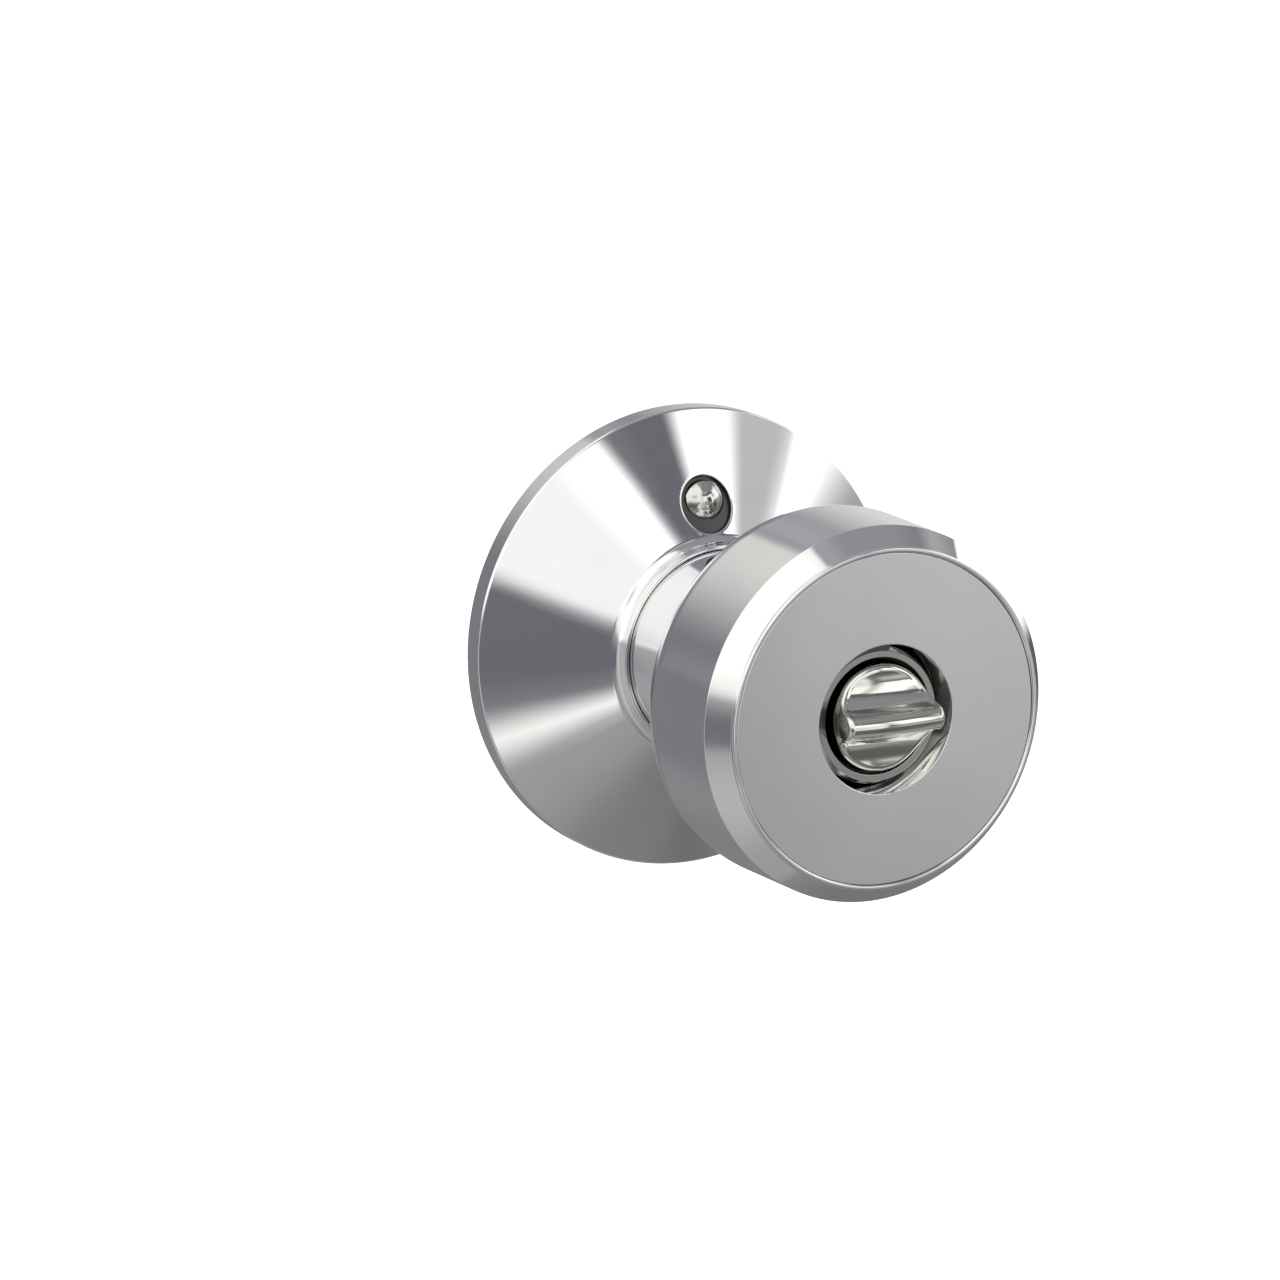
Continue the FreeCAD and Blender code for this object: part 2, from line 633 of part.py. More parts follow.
def make_through_bolt(name, side):
    """A through-bolt: domed head in the rose's cup, neck, and threaded end with a bevel."""
    dome_radius = (size.bolt_head_radius * size.bolt_head_radius
                   + size.bolt_dome_height * size.bolt_dome_height) / (size.bolt_dome_height * 2)
    head_height = size.bolt_head_side + size.bolt_dome_height
    dome = plain("Part::Sphere", name + "_dome",
                 size.cup_floor + head_height - dome_radius, Radius=dome_radius)
    rim = plain("Part::Cylinder", name + "_head", size.cup_floor,
                Radius=size.bolt_head_radius, Height=head_height)
    head = doc.addObject("Part::Common", name + "_cap")
    head.Base, head.Tool = dome, rim
    straight = size.bolt_reach - size.bolt_point
    thread_start = size.bolt_reach - size.thread_length
    neck = plain("Part::Cylinder", name + "_neck", -thread_start - size.fit,
                 Radius=size.bolt_neck, Height=thread_start + size.cup_floor + size.fit * 2)
    thread = plain("Part::Cylinder", name + "_thread", -straight,
                   Radius=size.bolt_radius, Height=straight - thread_start)
    point = plain("Part::Cone", name + "_point", -size.bolt_reach,
                  Radius1=size.bolt_radius - size.bolt_point, Radius2=size.bolt_radius, Height=size.bolt_point)
    bolt = doc.addObject("Part::MultiFuse", name)
    bolt.Shapes = [head, neck, thread, point]
    bolt.setExpression(".Placement.Base.z", (size.bolt_offset * side).text)
    pieces.append(bolt)
    return bolt


# Pieces that turn with the knob, behind and inside the rose

def make_driver_plate():
    """The plate on the spindle with the stop lug and the bent tab that loads the spring."""
    body = new_body("driver_plate")
    disc_radius = size.spindle_radius + size.driver_web
    disc = facing_sketch(body, "driver_disc_outline", -size.driver_back)
    circle(disc, 0, 0, disc_radius)
    circle(disc, 0, 0, size.spindle_radius)
    pad(body, disc, "driver_disc", size.driver_thickness)
    overlap = disc_radius - size.driver_web / 4
    arms = facing_sketch(body, "driver_arms_outline", -size.driver_back)
    rectangle(arms, -size.lug_half_width, overlap, size.lug_half_width, size.cage_inside - size.lug_gap)
    rectangle(arms, -size.tab_half_width, -size.tab_outside, size.tab_half_width, -overlap)
    pad(body, arms, "driver_arms", size.driver_thickness)
    tab_depth = size.cage_floor - size.driver_gap
    tab = facing_sketch(body, "driver_tab_outline", -tab_depth)
    rectangle(tab, -size.tab_half_width, -size.tab_outside, size.tab_half_width, -size.tab_inside)
    pad(body, tab, "driver_tab", tab_depth - size.driver_gap)
    return body


def make_return_spring():
    """A coil round the spindle whose two legs straddle the driver's tab and the cage's tab."""
    wire = size.spring_wire.value
    middle = size.spring_radius.value
    pitch = size.spring_pitch.value
    leg_x = size.tab_half_width.value + size.fit.value + wire / 2
    side = math.degrees(math.asin(leg_x / middle))
    sweep = 360 * (spring_turns + 1) - 2 * side
    length = pitch * sweep / 360
    front = size.coil_front.value + wire / 2
    leg_length = (size.cage_inside - size.gap).value - wire
    coil = Part.makeHelix(pitch, length, middle)
    start = FreeCAD.Vector(middle, 0, 0)
    along = FreeCAD.Vector(0, middle, pitch / (2 * math.pi))
    section_wire = Part.Wire([Part.makeCircle(wire / 2, start, along)])
    body = Part.Wire(coil.Edges).makePipeShell([section_wire], True, True)
    # The helix climbs along +Z: turn that to backwards, +Y, with its start on the left of the tab.
    body.rotate(FreeCAD.Vector(), FreeCAD.Vector(0, 0, 1), 90 + side)
    body.rotate(FreeCAD.Vector(), FreeCAD.Vector(1, 0, 0), -90)
    body.translate(FreeCAD.Vector(0, front, 0))
    foot = math.sqrt(middle ** 2 - leg_x ** 2)
    legs = []
    for x, depth in ((-leg_x, front), (leg_x, front + length)):
        corner = FreeCAD.Vector(x, depth, -foot)
        legs.append(Part.makeSphere(wire / 2, corner))
        legs.append(Part.makeCylinder(wire / 2, leg_length - foot, corner, FreeCAD.Vector(0, 0, -1)))
    spring = doc.addObject("Part::Feature", "return_spring")
    spring.Shape = body.fuse(legs)
    pieces.append(spring)
    return spring


def make_spindle():
    """The tube that the knob slides on, half cut away behind the cage, where it drives the latch."""
    body = new_body("spindle")
    turned(body, "spindle_tube", [
        (size.spindle_inside, size.spindle_front),
        (size.spindle_radius, size.spindle_front),
        (size.spindle_radius, -size.spindle_back),
        (size.spindle_inside, -size.spindle_back),
    ])
    turned_groove(body, "ring_groove", [
        (size.ring_groove, -size.ring_front),
        (size.spindle_radius + size.gap, -size.ring_front),
        (size.spindle_radius + size.gap, -size.ring_back),
        (size.ring_groove, -size.ring_back),
    ])
    half = facing_sketch(body, "tail_cut", -size.tail_start)
    rectangle(half, -size.spindle_radius - 1, -size.spindle_radius - 1, size.spindle_radius + 1, 0)
    pocket(body, half, "spindle_tail", size.spindle_back - size.tail_start + 1)
    hole = sketch_on(body, "catch_hole", "XY_Plane")
    circle(hole, 0, -size.catch_forward, size.catch_radius + size.fit)
    pocket(body, hole, "spindle_catch_hole", size.spindle_radius + 1)
    return body


def make_thrust_washer():
    body = new_body("thrust_washer")
    outside = size.spindle_radius + size.washer_width
    turned(body, "washer_blank", [
        (size.spindle_radius, -size.washer_front),
        (outside, -size.washer_front),
        (outside, -size.ring_front),
        (size.spindle_radius, -size.ring_front),
    ])
    return body


def make_snap_ring():
    """The open ring in the spindle's groove that holds the knob half together."""
    body = new_body("snap_ring")
    outside = size.spindle_radius + size.ring_width
    turned(body, "ring_blank", [
        (size.ring_groove, -size.ring_front),
        (outside, -size.ring_front),
        (outside, -size.ring_back),
        (size.ring_groove, -size.ring_back),
    ])
    opening = facing_sketch(body, "ring_opening_outline", -size.ring_front)
    rectangle(opening, -size.ring_opening, -outside - 1, size.ring_opening, 0)
    pocket(body, opening, "ring_opening_cut", size.ring_thickness + 1)
    return body


# Knob

def make_knob_shell():
    """The shell with neck, rounded back, side, front bevel and the bead round the face."""
    body = new_body("knob_shell")
    slope = tangent(size.back_angle)
    neck_front = size.knob_corner - (size.knob_radius - size.neck_radius) / slope
    inside = size.knob_front_radius - size.shell_wall
    # The inner cone lies one wall inside the outer one.
    shift = size.shell_wall / sine(size.back_angle)
    inner_corner = size.knob_corner + shift - (size.knob_radius - inside) / slope
    inner_neck = size.knob_corner + shift - (size.knob_radius - size.neck_bore) / slope
    bevel = size.bevel_width / size.bevel_height
    inner_bevel = size.bevel_front - size.shell_wall
    shell = turned(body, "knob_turning", [
        (size.neck_radius, size.neck_back),
        (size.neck_radius, neck_front),
        (size.knob_radius, size.knob_corner),
        (size.knob_front_radius, size.bevel_back),
        (size.bead_radius, size.bevel_front),
        (size.bead_radius, size.bead_front),
        (size.mouth_radius, size.bead_front),
        (size.mouth_radius, inner_bevel),
        (inside, inner_bevel - (inside - size.mouth_radius) / bevel),
        (inside, inner_corner),
        (size.neck_bore, inner_neck),
        (size.neck_bore, size.neck_back),
    ])
    back = rounded(body, shell, "knob_back_edge", size.back_rounding,
                   ring_edges(shell.Shape, size.knob_radius, size.knob_corner))
    inner = rounded(body, back, "knob_back_inside", size.back_rounding - size.shell_wall,
                    ring_edges(back.Shape, inside, inner_corner))
    neck = rounded(body, inner, "knob_neck_hollow", size.neck_fillet,
                   ring_edges(inner.Shape, size.neck_radius, neck_front))
    bead_edges = ring_edges(neck.Shape, size.bead_radius, size.bead_front)
    bead_edges += ring_edges(neck.Shape, size.mouth_radius, size.bead_front)
    bead = rounded(body, neck, "knob_bead", size.bead_edge, bead_edges)
    rounded(body, bead, "knob_bevel_edge", size.bevel_edge,
            ring_edges(bead.Shape, size.knob_front_radius, size.bevel_back))
    hole = sketch_on(body, "tool_hole_outline", "XY_Plane")
    circle(hole, 0, -size.catch_forward, size.tool_hole)
    pocket(body, hole, "knob_tool_hole", size.neck_radius + 1)
    return body


def make_knob_face():
    """The plate that closes the knob, with the recess round the turn button."""
    body = new_body("knob_face")
    outside = size.mouth_radius - size.face_gap
    face = turned(body, "face_pressing", [
        (outside, size.face_back),
        (outside, size.face_front),
        (size.recess_radius, size.face_front),
        (size.recess_floor_radius, size.recess_floor),
        (size.button_hole, size.recess_floor),
        (size.button_hole, size.recess_back),
        (size.recess_floor_radius + size.face_thickness, size.recess_back),
        (size.recess_radius + size.face_thickness, size.face_back),
    ])
    edges = ring_edges(face.Shape, outside, size.face_front)
    edges += ring_edges(face.Shape, size.recess_radius, size.face_front)
    rounded(body, face, "face_edges", size.bead_edge, edges)
    return body


def make_knob_core():
    """The insert inside the knob: hub for the button sleeve, web, and rim under the face."""
    body = new_body("knob_core")
    shell_inside = size.knob_front_radius - size.shell_wall - size.fit
    rim = size.mouth_radius - size.gap
    rim_inside = rim - size.core_rim_width
    web_front = size.core_web_back + size.core_web
    hub_front = size.recess_back - size.face_thickness
    turned(body, "core_casting", [
        (size.button_sleeve_radius, size.sleeve_front),
        (size.core_hub, size.sleeve_front),
        (size.core_hub, size.core_web_back),
        (shell_inside, size.core_web_back),
        (shell_inside, web_front),
        (rim, web_front),
        (rim, size.face_back),
        (rim_inside, size.face_back),
        (rim_inside, web_front),
        (size.core_hub, web_front),
        (size.core_hub, hub_front),
        (size.button_sleeve_radius, hub_front),
    ])
    hole = facing_sketch(body, "core_hole_outline", web_front)
    circle(hole, (size.core_hub + rim_inside) / 2, 0, (rim_inside - size.core_hub) / 2 - size.core_hole_web)
    bored = pocket(body, hole, "core_hole_cut", size.core_web + 1)
    polar(body, [bored], hole, "core_holes", 6)
    return body


def make_knob_sleeve():
    """The tube pressed into the neck that slides over the spindle, with the catch's hole."""
    body = new_body("knob_sleeve")
    flange = size.core_hub + size.sleeve_flange
    back = size.bush_front + size.gap
    flange_back = size.sleeve_front - size.sleeve_flange_thickness
    turned(body, "sleeve_tube", [
        (size.bush_bore, back),
        (size.neck_bore, back),
        (size.neck_bore, flange_back),
        (flange, flange_back),
        (flange, size.sleeve_front),
        (size.bush_bore, size.sleeve_front),
    ])
    hole = sketch_on(body, "sleeve_catch_outline", "XY_Plane")
    circle(hole, 0, -size.catch_forward, size.catch_radius + size.catch_clearance)
    pocket(body, hole, "sleeve_catch_hole", size.neck_radius)
    return body


def make_knob_catch():
    """The stud that locks the knob to the spindle, pressed in from below to free it."""
    catch = doc.addObject("Part::Cylinder", "catch_stud")
    catch.setExpression("Radius", size.catch_radius.text)
    catch.setExpression("Height", (size.catch_tip - size.leaf_offset).text)
    catch.setExpression(".Placement.Base.y", (-size.catch_forward).text)
    catch.setExpression(".Placement.Base.z", (-size.catch_tip).text)
    doc.recompute()
    tip = doc.addObject("Part::Chamfer", "knob_catch")
    tip.Base = catch
    bevel = size.catch_bevel.value
    low = [index for index, edge in enumerate(catch.Shape.Edges, start=1)
           if edge.BoundBox.ZMax < -size.catch_tip.value + 0.01]
    tip.Edges = [(index, bevel, bevel) for index in low]
    pieces.append(tip)
    return tip


def make_catch_spring():
    """The leaf inside the spindle that pushes the catch out."""
    body = new_body("catch_spring")
    leaf = sketch_on(body, "leaf_outline", "XY_Plane", -size.leaf_offset)
    front = size.spindle_front - size.leaf_end
    free_end = size.catch_forward - size.leaf_free
    rectangle(leaf, -size.leaf_half_width, -front, size.leaf_half_width, -free_end)
    pad(body, leaf, "leaf", size.leaf_thickness)
    return body


# Turn button

def make_button_sleeve():
    body = new_body("button_sleeve")
    bore = size.button_radius + size.gap
    stem_bore = size.stem_radius + size.fit
    turned(body, "button_sleeve_turning", [
        (stem_bore, size.button_sleeve_back),
        (size.button_sleeve_radius, size.button_sleeve_back),
        (size.button_sleeve_radius, size.recess_back),
        (bore, size.recess_back),
        (bore, size.button_floor),
        (stem_bore, size.button_floor),
    ])
    return body


def make_turn_button():
    """The button: two hollows leave a grip bar; its stem takes the lock bar and the clip."""
    body = new_body("turn_button")
    clip_front = size.clip_back + size.clip_thickness
    turned(body, "button_turning", [
        (0, size.stem_back),
        (size.stem_radius, size.stem_back),
        (size.stem_radius, size.clip_back),
        (size.clip_groove, size.clip_back),
        (size.clip_groove, clip_front),
        (size.stem_radius, clip_front),
        (size.stem_radius, size.button_back),
        (size.button_radius, size.button_back),
        (size.button_radius, size.button_front),
        (0, size.button_front),
    ])
    scoops = sketch_on(body, "scoop_outline", "YZ_Plane", -size.button_radius - 1)
    for side in (1, -1):
        circle(scoops, -size.scoop_middle, (size.bar_half_width + size.scoop_radius) * side, size.scoop_radius)
    hollows = pocket(body, scoops, "button_scoops", size.button_radius * 2 + 2, against_normal=False)
    bar_edges = []
    for index, edge in enumerate(hollows.Shape.Edges, start=1):
        box = edge.BoundBox
        if box.YMax < -size.button_front.value + 0.01 and box.XLength > size.button_radius.value:
            bar_edges.append(f"Edge{index}")
    bar = rounded(body, hollows, "button_bar_edges", size.bar_rounding, bar_edges)
    rim_edges = []
    hollow_floor = size.scoop_middle - size.scoop_radius - size.fit
    for index, edge in enumerate(bar.Shape.Edges, start=1):
        middle = edge.valueAt((edge.FirstParameter + edge.LastParameter) / 2)
        on_side = abs(math.hypot(middle.x, middle.z) - size.button_radius.value) < 0.01
        if on_side and middle.y < -hollow_floor.value:
            rim_edges.append(f"Edge{index}")
    rounded(body, bar, "button_rim", size.button_edge, rim_edges)
    slot = facing_sketch(body, "bar_slot_outline", size.stem_back)
    half_width, half_thickness = size.bar_width / 2 + size.fit, size.bar_thickness / 2 + size.fit
    rectangle(slot, -half_width, -half_thickness, half_width, half_thickness)
    pocket(body, slot, "bar_slot", size.bar_front - size.stem_back, against_normal=False)
    return body


def make_button_clip():
    body = new_body("button_clip")
    clip = facing_sketch(body, "clip_outline", size.clip_back)
    outside = size.stem_radius + size.clip_width
    circle(clip, 0, 0, outside)
    circle(clip, 0, 0, size.clip_groove)
    pad(body, clip, "clip_blank", size.clip_thickness)
    opening = facing_sketch(body, "clip_opening_outline", size.clip_back)
    rectangle(opening, -size.clip_opening, -outside - 1, size.clip_opening, 0)
    pocket(body, opening, "clip_opening_cut", size.clip_thickness + 1, against_normal=False)
    return body


def make_spring_washer():
    """The curved washer under the button that gives its turn some drag."""
    outside = size.button_radius - size.spring_washer_inset
    ring = plain("Part::Cylinder", "spring_washer_disc", size.button_floor,
                 Radius=outside, Height=size.washer_room)
    hole = plain("Part::Cylinder", "spring_washer_hole", size.button_floor,
                 Radius=size.stem_radius + size.fit * 3, Height=size.washer_room)
    bends = []
    for name, radius in (("outer", size.spring_washer_bend), ("inner", size.spring_washer_bend
                                                              - size.spring_washer_sheet)):
        bend = doc.addObject("Part::Cylinder", "spring_washer_" + name)
        bend.setExpression("Radius", radius.text)
        bend.setExpression("Height", (outside * 3).text)
        bend.Placement.Rotation = FreeCAD.Rotation(FreeCAD.Vector(0, 1, 0), 90)
        bend.setExpression(".Placement.Base.x", (outside * -1.5).text)
        bend.setExpression(".Placement.Base.y", (-(size.button_floor + size.fit + size.spring_washer_bend)).text)
        bends.append(bend)
    sheet_bend = doc.addObject("Part::Cut", "spring_washer_sheet_bend")
    sheet_bend.Base, sheet_bend.Tool = bends
    disc = doc.addObject("Part::Common", "spring_washer_round")
    disc.Base, disc.Tool = sheet_bend, ring
    washer = doc.addObject("Part::Cut", "spring_washer")
    washer.Base, washer.Tool = disc, hole
    pieces.append(washer)
    return washer


def make_lock_bar():
    """The flat bar from the turn button to the lock's outside half."""
    bar = doc.addObject("Part::Box", "lock_bar")
    bar.setExpression("Length", size.bar_width.text)
    bar.setExpression("Width", (size.bar_front - size.fit + size.spindle_back + size.bar_tail).text)
    bar.setExpression("Height", size.bar_thickness.text)
    bar.setExpression(".Placement.Base.x", (size.bar_width / -2).text)
    bar.setExpression(".Placement.Base.y", (-(size.bar_front - size.fit)).text)
    bar.setExpression(".Placement.Base.z", (size.bar_thickness / -2).text)
    pieces.append(bar)
    return bar


make_rose()
make_mounting_plate()
make_spindle_bush()
make_spring_cage()
make_cage_rivets()
make_through_bolt("through_bolt_top", 1)
make_through_bolt("through_bolt_bottom", -1)
make_driver_plate()
make_return_spring()
make_spindle()
make_thrust_washer()
make_snap_ring()
make_knob_shell()
make_knob_face()
make_knob_core()
make_knob_sleeve()
make_knob_catch()
make_catch_spring()
make_button_sleeve()
make_turn_button()
make_button_clip()
make_spring_washer()
make_lock_bar()
doc.recompute()

for item in doc.Objects:
    if "Invalid" in item.State or "Error" in item.State:
        raise RuntimeError(f"{item.Name} is {item.State}")
for piece in pieces:
    piece.Label = piece.Name
    if piece.Shape.isNull() or not piece.Shape.isValid():
        raise RuntimeError(f"{piece.Name} has no valid shape")
    piece.Shape.exportStep(f"parts/{piece.Label}.step")
    print(f"{piece.Label}: {len(piece.Shape.Solids)} solid, {piece.Shape.Volume:.1f} mm3")
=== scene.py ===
# %% [markdown]
# # A polished chrome door knob with its rose
# The frame holds the lock's solids in metres: Y runs into the door, Z is up. Every piece made
# here lies over those solids, so we load them first and note the size that we must keep.

# %% Frame and sizes
import json
import math
import bmesh
import bpy
from mathutils import Matrix, Vector


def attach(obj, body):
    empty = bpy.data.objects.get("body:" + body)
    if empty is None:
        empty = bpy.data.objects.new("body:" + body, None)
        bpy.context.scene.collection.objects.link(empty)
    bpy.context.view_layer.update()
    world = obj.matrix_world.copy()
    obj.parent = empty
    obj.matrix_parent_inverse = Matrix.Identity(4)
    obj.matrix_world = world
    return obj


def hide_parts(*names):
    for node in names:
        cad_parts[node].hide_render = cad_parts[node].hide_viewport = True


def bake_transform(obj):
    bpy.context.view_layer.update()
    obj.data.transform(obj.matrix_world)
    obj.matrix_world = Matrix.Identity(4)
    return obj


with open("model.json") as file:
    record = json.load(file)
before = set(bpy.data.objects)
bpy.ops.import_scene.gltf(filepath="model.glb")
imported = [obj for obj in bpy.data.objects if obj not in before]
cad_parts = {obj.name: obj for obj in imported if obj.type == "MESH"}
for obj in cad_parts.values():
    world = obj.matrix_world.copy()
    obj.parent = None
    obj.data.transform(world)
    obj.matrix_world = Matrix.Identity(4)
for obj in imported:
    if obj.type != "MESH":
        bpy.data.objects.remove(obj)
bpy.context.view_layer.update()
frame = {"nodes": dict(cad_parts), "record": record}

mm = 0.001

# %% [markdown]
# ## Camera
# The photo was taken from far off with a long lens: both rims are nearly true ellipses. The
# camera's place was fitted to them, so the knob falls where it does in the photo.

# %% Camera
lens = bpy.data.cameras.new("camera")
lens.lens = 168.75
lens.sensor_width = 36
lens.clip_start = 0.05
lens.clip_end = 100
camera = bpy.data.objects.new("camera", lens)
camera.location = (-0.39286, -0.73248, 0.18923)
camera.rotation_euler = (math.radians(77.101), 0, math.radians(-27.855))
bpy.context.scene.collection.objects.link(camera)
bpy.context.scene.camera = camera
print("camera at", [round(c, 3) for c in camera.location], "lens", lens.lens)

# %% [markdown]
# ## Colours and nodes
# Colours are picked on screen as sRGB hex, but shaders count in linear light, so one function
# turns them. Another feeds a node's inputs, with values or with links from other nodes. The third
# adds a node with its settings and feeds it, and every material is made with it.

# %% Helpers for colours and nodes
def linear(hex_colour):
    """An sRGB hex colour as linear RGBA."""
    channels = [int(hex_colour[i:i + 2], 16) / 255 for i in (1, 3, 5)]
    return [c / 12.92 if c <= 0.04045 else ((c + 0.055) / 1.055) ** 2.4 for c in channels] + [1.0]


def feed(tree, node, **inputs):
    """Sets or links inputs, named with _ for a space, or i0 for the first."""
    for name, value in inputs.items():
        key = int(name[1:]) if name[0] == "i" and name[1:].isdigit() else name.replace("_", " ")
        if isinstance(value, bpy.types.Node):
            value = value.outputs[0]
        if isinstance(value, bpy.types.NodeSocket):
            tree.links.new(value, node.inputs[key])
        else:
            node.inputs[key].default_value = value


def add(tree, kind, settings=None, **inputs):
    """Adds a node. Settings are its properties, and the inputs are fed to it."""
    node = tree.nodes.new(kind)
    for name, value in (settings or {}).items():
        setattr(node, name, value)
    feed(tree, node, **inputs)
    return node


white = linear("#ffffff")
print("mid grey #808080 in linear light:", round(linear("#808080")[0], 3))

# %% [markdown]
# ## Studio
# Chrome has no colour of its own: what we see is the studio in it. The photo shows large soft
# panels with dark gaps between them. Read back from the reflections, the panels stand to the
# left, in front and to the right of the knob, over a mid-grey lower half. The world shader
# paints them by direction, one over the other, and soft edges stand for the panels' diffusers.

# %% Studio panels
# Each panel: azimuth and elevation of its middle, half widths, softness of its edges (degrees),
# colour, and how much brighter it shines than white paper.
# Azimuth 0 is the side the knob faces, 90 is to the right of somebody who faces the door.
panels = [
    ("lower half", (0, -62, 181, 33), (1, 9), "#9f9f9f", 1.0),
    ("lower front, darker", (37, -40, 29, 18), (23, 6), "#656565", 1.0),
    ("lower right, darker", (150, -53, 41, 31), (23, 20), "#787878", 1.0),
    ("lower left, paler", (-94, -21, 21, 39), (20, 18), "#c3c3c1", 1.0),
    ("upper grey", (61, 76, 89, 30), (22, 11), "#929297", 1.0),
    ("left wall", (-72.5, 45, 68.5, 42.5), (9, 3), "#fffefa", 1.2),
    ("left wall, far end", (-150, 57, 39, 30), (3.4, 16), "#f2f0ea", 1.0),
    ("gap in the left wall", (-107, 70.5, 29, 2), (9, 9), "#dcdbd7", 1.0),
    ("dark band under the left wall", (-35, -6.7, 41, 12.7), (3.5, 4.3), "#6d6d73", 1.0),
    ("front panel", (2.4, 15.4, 22, 31), (1.5, 7.5), "#fffffd", 1.0),
    ("front panel, its lamp", (11, 24, 14, 14), (4, 6), "#fffffd", 1.25),
    ("under the right front panel", (75, 2, 16, 8), (5, 3), "#acacac", 1.0),
    ("front panel, right", (63.5, 25, 31.5, 15), (15, 5), "#fffffd", 1.3),
    ("beam above the front panel", (30, 37.3, 26.6, 5.8), (1.1, 0.7), "#6d6d73", 1.0),
    ("between the front panels", (42, -9.8, 14, 4.6), (3, 7.5), "#d4d3d0", 1.0),
    ("shade on the front panel", (44.4, 25.2, 14.4, 6), (1.1, 3.6), "#c1c1c1", 1.0),
    ("right panel", (122, 7.6, 20.5, 19.7), (2.5, 0.8), "#fefefc", 1.2),
    ("far right panel", (136, 13.6, 13.5, 29), (16.6, 2.3), "#fcfbf8", 1.0),
    ("gap behind the right panel", (134, -2, 10, 14), (3, 4), "#5c5c61", 1.0),
    ("light spot low on the left", (-22.6, -31, 10, 3.4), (6, 5), "#f5f4f0", 1.15),
    ("behind on the right", (147, 55, 23.4, 30.4), (4.6, 4), "#a6a6ac", 1.0),
    ("foot of the left wall", (-53, 8, 28, 2), (4.5, 15.3), "#eae9e4", 1.0),
    ("end of the beam", (1.6, 38.9, 10.6, 6.7), (6.3, 1.6), "#8d8d93", 1.0),
    ("strip in the front panel", (36.5, 18.4, 8.2, 15.5), (3.1, 1.6), "#fffffd", 1.3),
    ("ceiling", (-11.6, 87, 65, 5), (24, 10), "#bebebe", 1.0),
    ("floor, left", (-40, -68.6, 29, 13), (13, 13), "#848484", 1.0),
    ("middle of the front panel", (13, 2, 5.4, 6.6), (8.3, 6.1), "#dddcd8", 1.0),
    ("second spot low on the left", (-10, -34, 4, 2.8), (1.6, 3.4), "#e8e7e3", 1.2),
    ("window in the left wall", (-48, 30.5, 13.2, 6.5), (4.9, 5.3), "#e1e0db", 1.0),
]
world = bpy.data.worlds.new("studio")
bpy.context.scene.world = world
world.use_nodes = True
tree = world.node_tree
tree.nodes.clear()
ray = add(tree, "ShaderNodeTexCoord")
xyz = add(tree, "ShaderNodeSeparateXYZ", Vector=ray.outputs["Generated"])
forward = add(tree, "ShaderNodeMath", {"operation": "MULTIPLY"}, i0=xyz.outputs["Y"], i1=-1.0)
around = add(tree, "ShaderNodeMath", {"operation": "ARCTAN2"}, i0=xyz.outputs["X"], i1=forward)
azimuth = add(tree, "ShaderNodeMath", {"operation": "DEGREES"}, i0=around)
height = add(tree, "ShaderNodeMath", {"operation": "ARCSINE"}, i0=xyz.outputs["Z"])
elevation = add(tree, "ShaderNodeMath", {"operation": "DEGREES"}, i0=height)
colour = linear("#7c7c81")
for name, (mid_az, mid_el, half_az, half_el), (soft_az, soft_el), paint, power in panels:
    masks = []
    for angle, middle, half, soft in ((azimuth, mid_az, half_az, soft_az),
                                      (elevation, mid_el, half_el, soft_el)):
        away = add(tree, "ShaderNodeMath", {"operation": "SUBTRACT"}, i0=angle, i1=middle)
        if angle is azimuth:
            away = add(tree, "ShaderNodeMath", {"operation": "WRAP"}, i0=away, i1=180, i2=-180)
        size = add(tree, "ShaderNodeMath", {"operation": "ABSOLUTE"}, i0=away)
        masks.append(add(tree, "ShaderNodeMapRange", {"interpolation_type": "SMOOTHSTEP"}, Value=size,
                         From_Min=half + soft, From_Max=half - soft))
    mask = add(tree, "ShaderNodeMath", {"operation": "MULTIPLY"}, i0=masks[0], i1=masks[1])
    shine = [channel * power for channel in linear(paint)]
    mixed = add(tree, "ShaderNodeMix", {"data_type": "RGBA", "label": name}, i0=mask, i6=colour, i7=shine)
    colour = mixed.outputs[2]
seen = add(tree, "ShaderNodeLightPath")
studio = add(tree, "ShaderNodeBackground", Color=colour, Strength=1.12)
backdrop = add(tree, "ShaderNodeBackground", Color=white, Strength=1.0)
both = add(tree, "ShaderNodeMixShader", i0=seen.outputs["Is Camera Ray"], i1=studio, i2=backdrop)
add(tree, "ShaderNodeOutputWorld", Surface=both)
bpy.context.scene.view_settings.view_transform = "Standard"
print("panels:", len(panels))

# %% [markdown]
# ## Floor
# The photo's ground is pure white and shows no shadow, so the floor is a sheet of white paper
# far below the knob. It glows a little, and the chrome doesn't see it: the studio is in the world.

# %% Floor
floor_mesh = bmesh.new()
floor_half, floor_depth = 12, 0.4
bmesh.ops.create_grid(floor_mesh, x_segments=1, y_segments=1, size=floor_half)
bmesh.ops.translate(floor_mesh, verts=floor_mesh.verts, vec=(0, 0, -floor_depth))
floor_data = bpy.data.meshes.new("floor")
floor_mesh.to_mesh(floor_data)
floor = bpy.data.objects.new("floor", floor_data)
bpy.context.scene.collection.objects.link(floor)
floor.visible_glossy = False
paper = bpy.data.materials.new("white_paper")
paper.use_nodes = True
feed(paper.node_tree, paper.node_tree.nodes["Principled BSDF"], Base_Color=white, Roughness=0.9,
     Emission_Color=white, Emission_Strength=0.6)
floor_data.materials.append(paper)
print("floor:", 2 * floor_half, "m wide,", floor_depth, "m below the knob's axis")

# %% [markdown]
# ## Finishes
# Every metal here starts from object coordinates counted in millimetres, so a scale says how
# many spots of a pattern come to a millimetre. Three noises then let its colour, its roughness
# and its relief wander a little. What tells the metals apart is how far these go, and what
# their tools left behind. A noise keeps near one half, so its middle range is spread out.

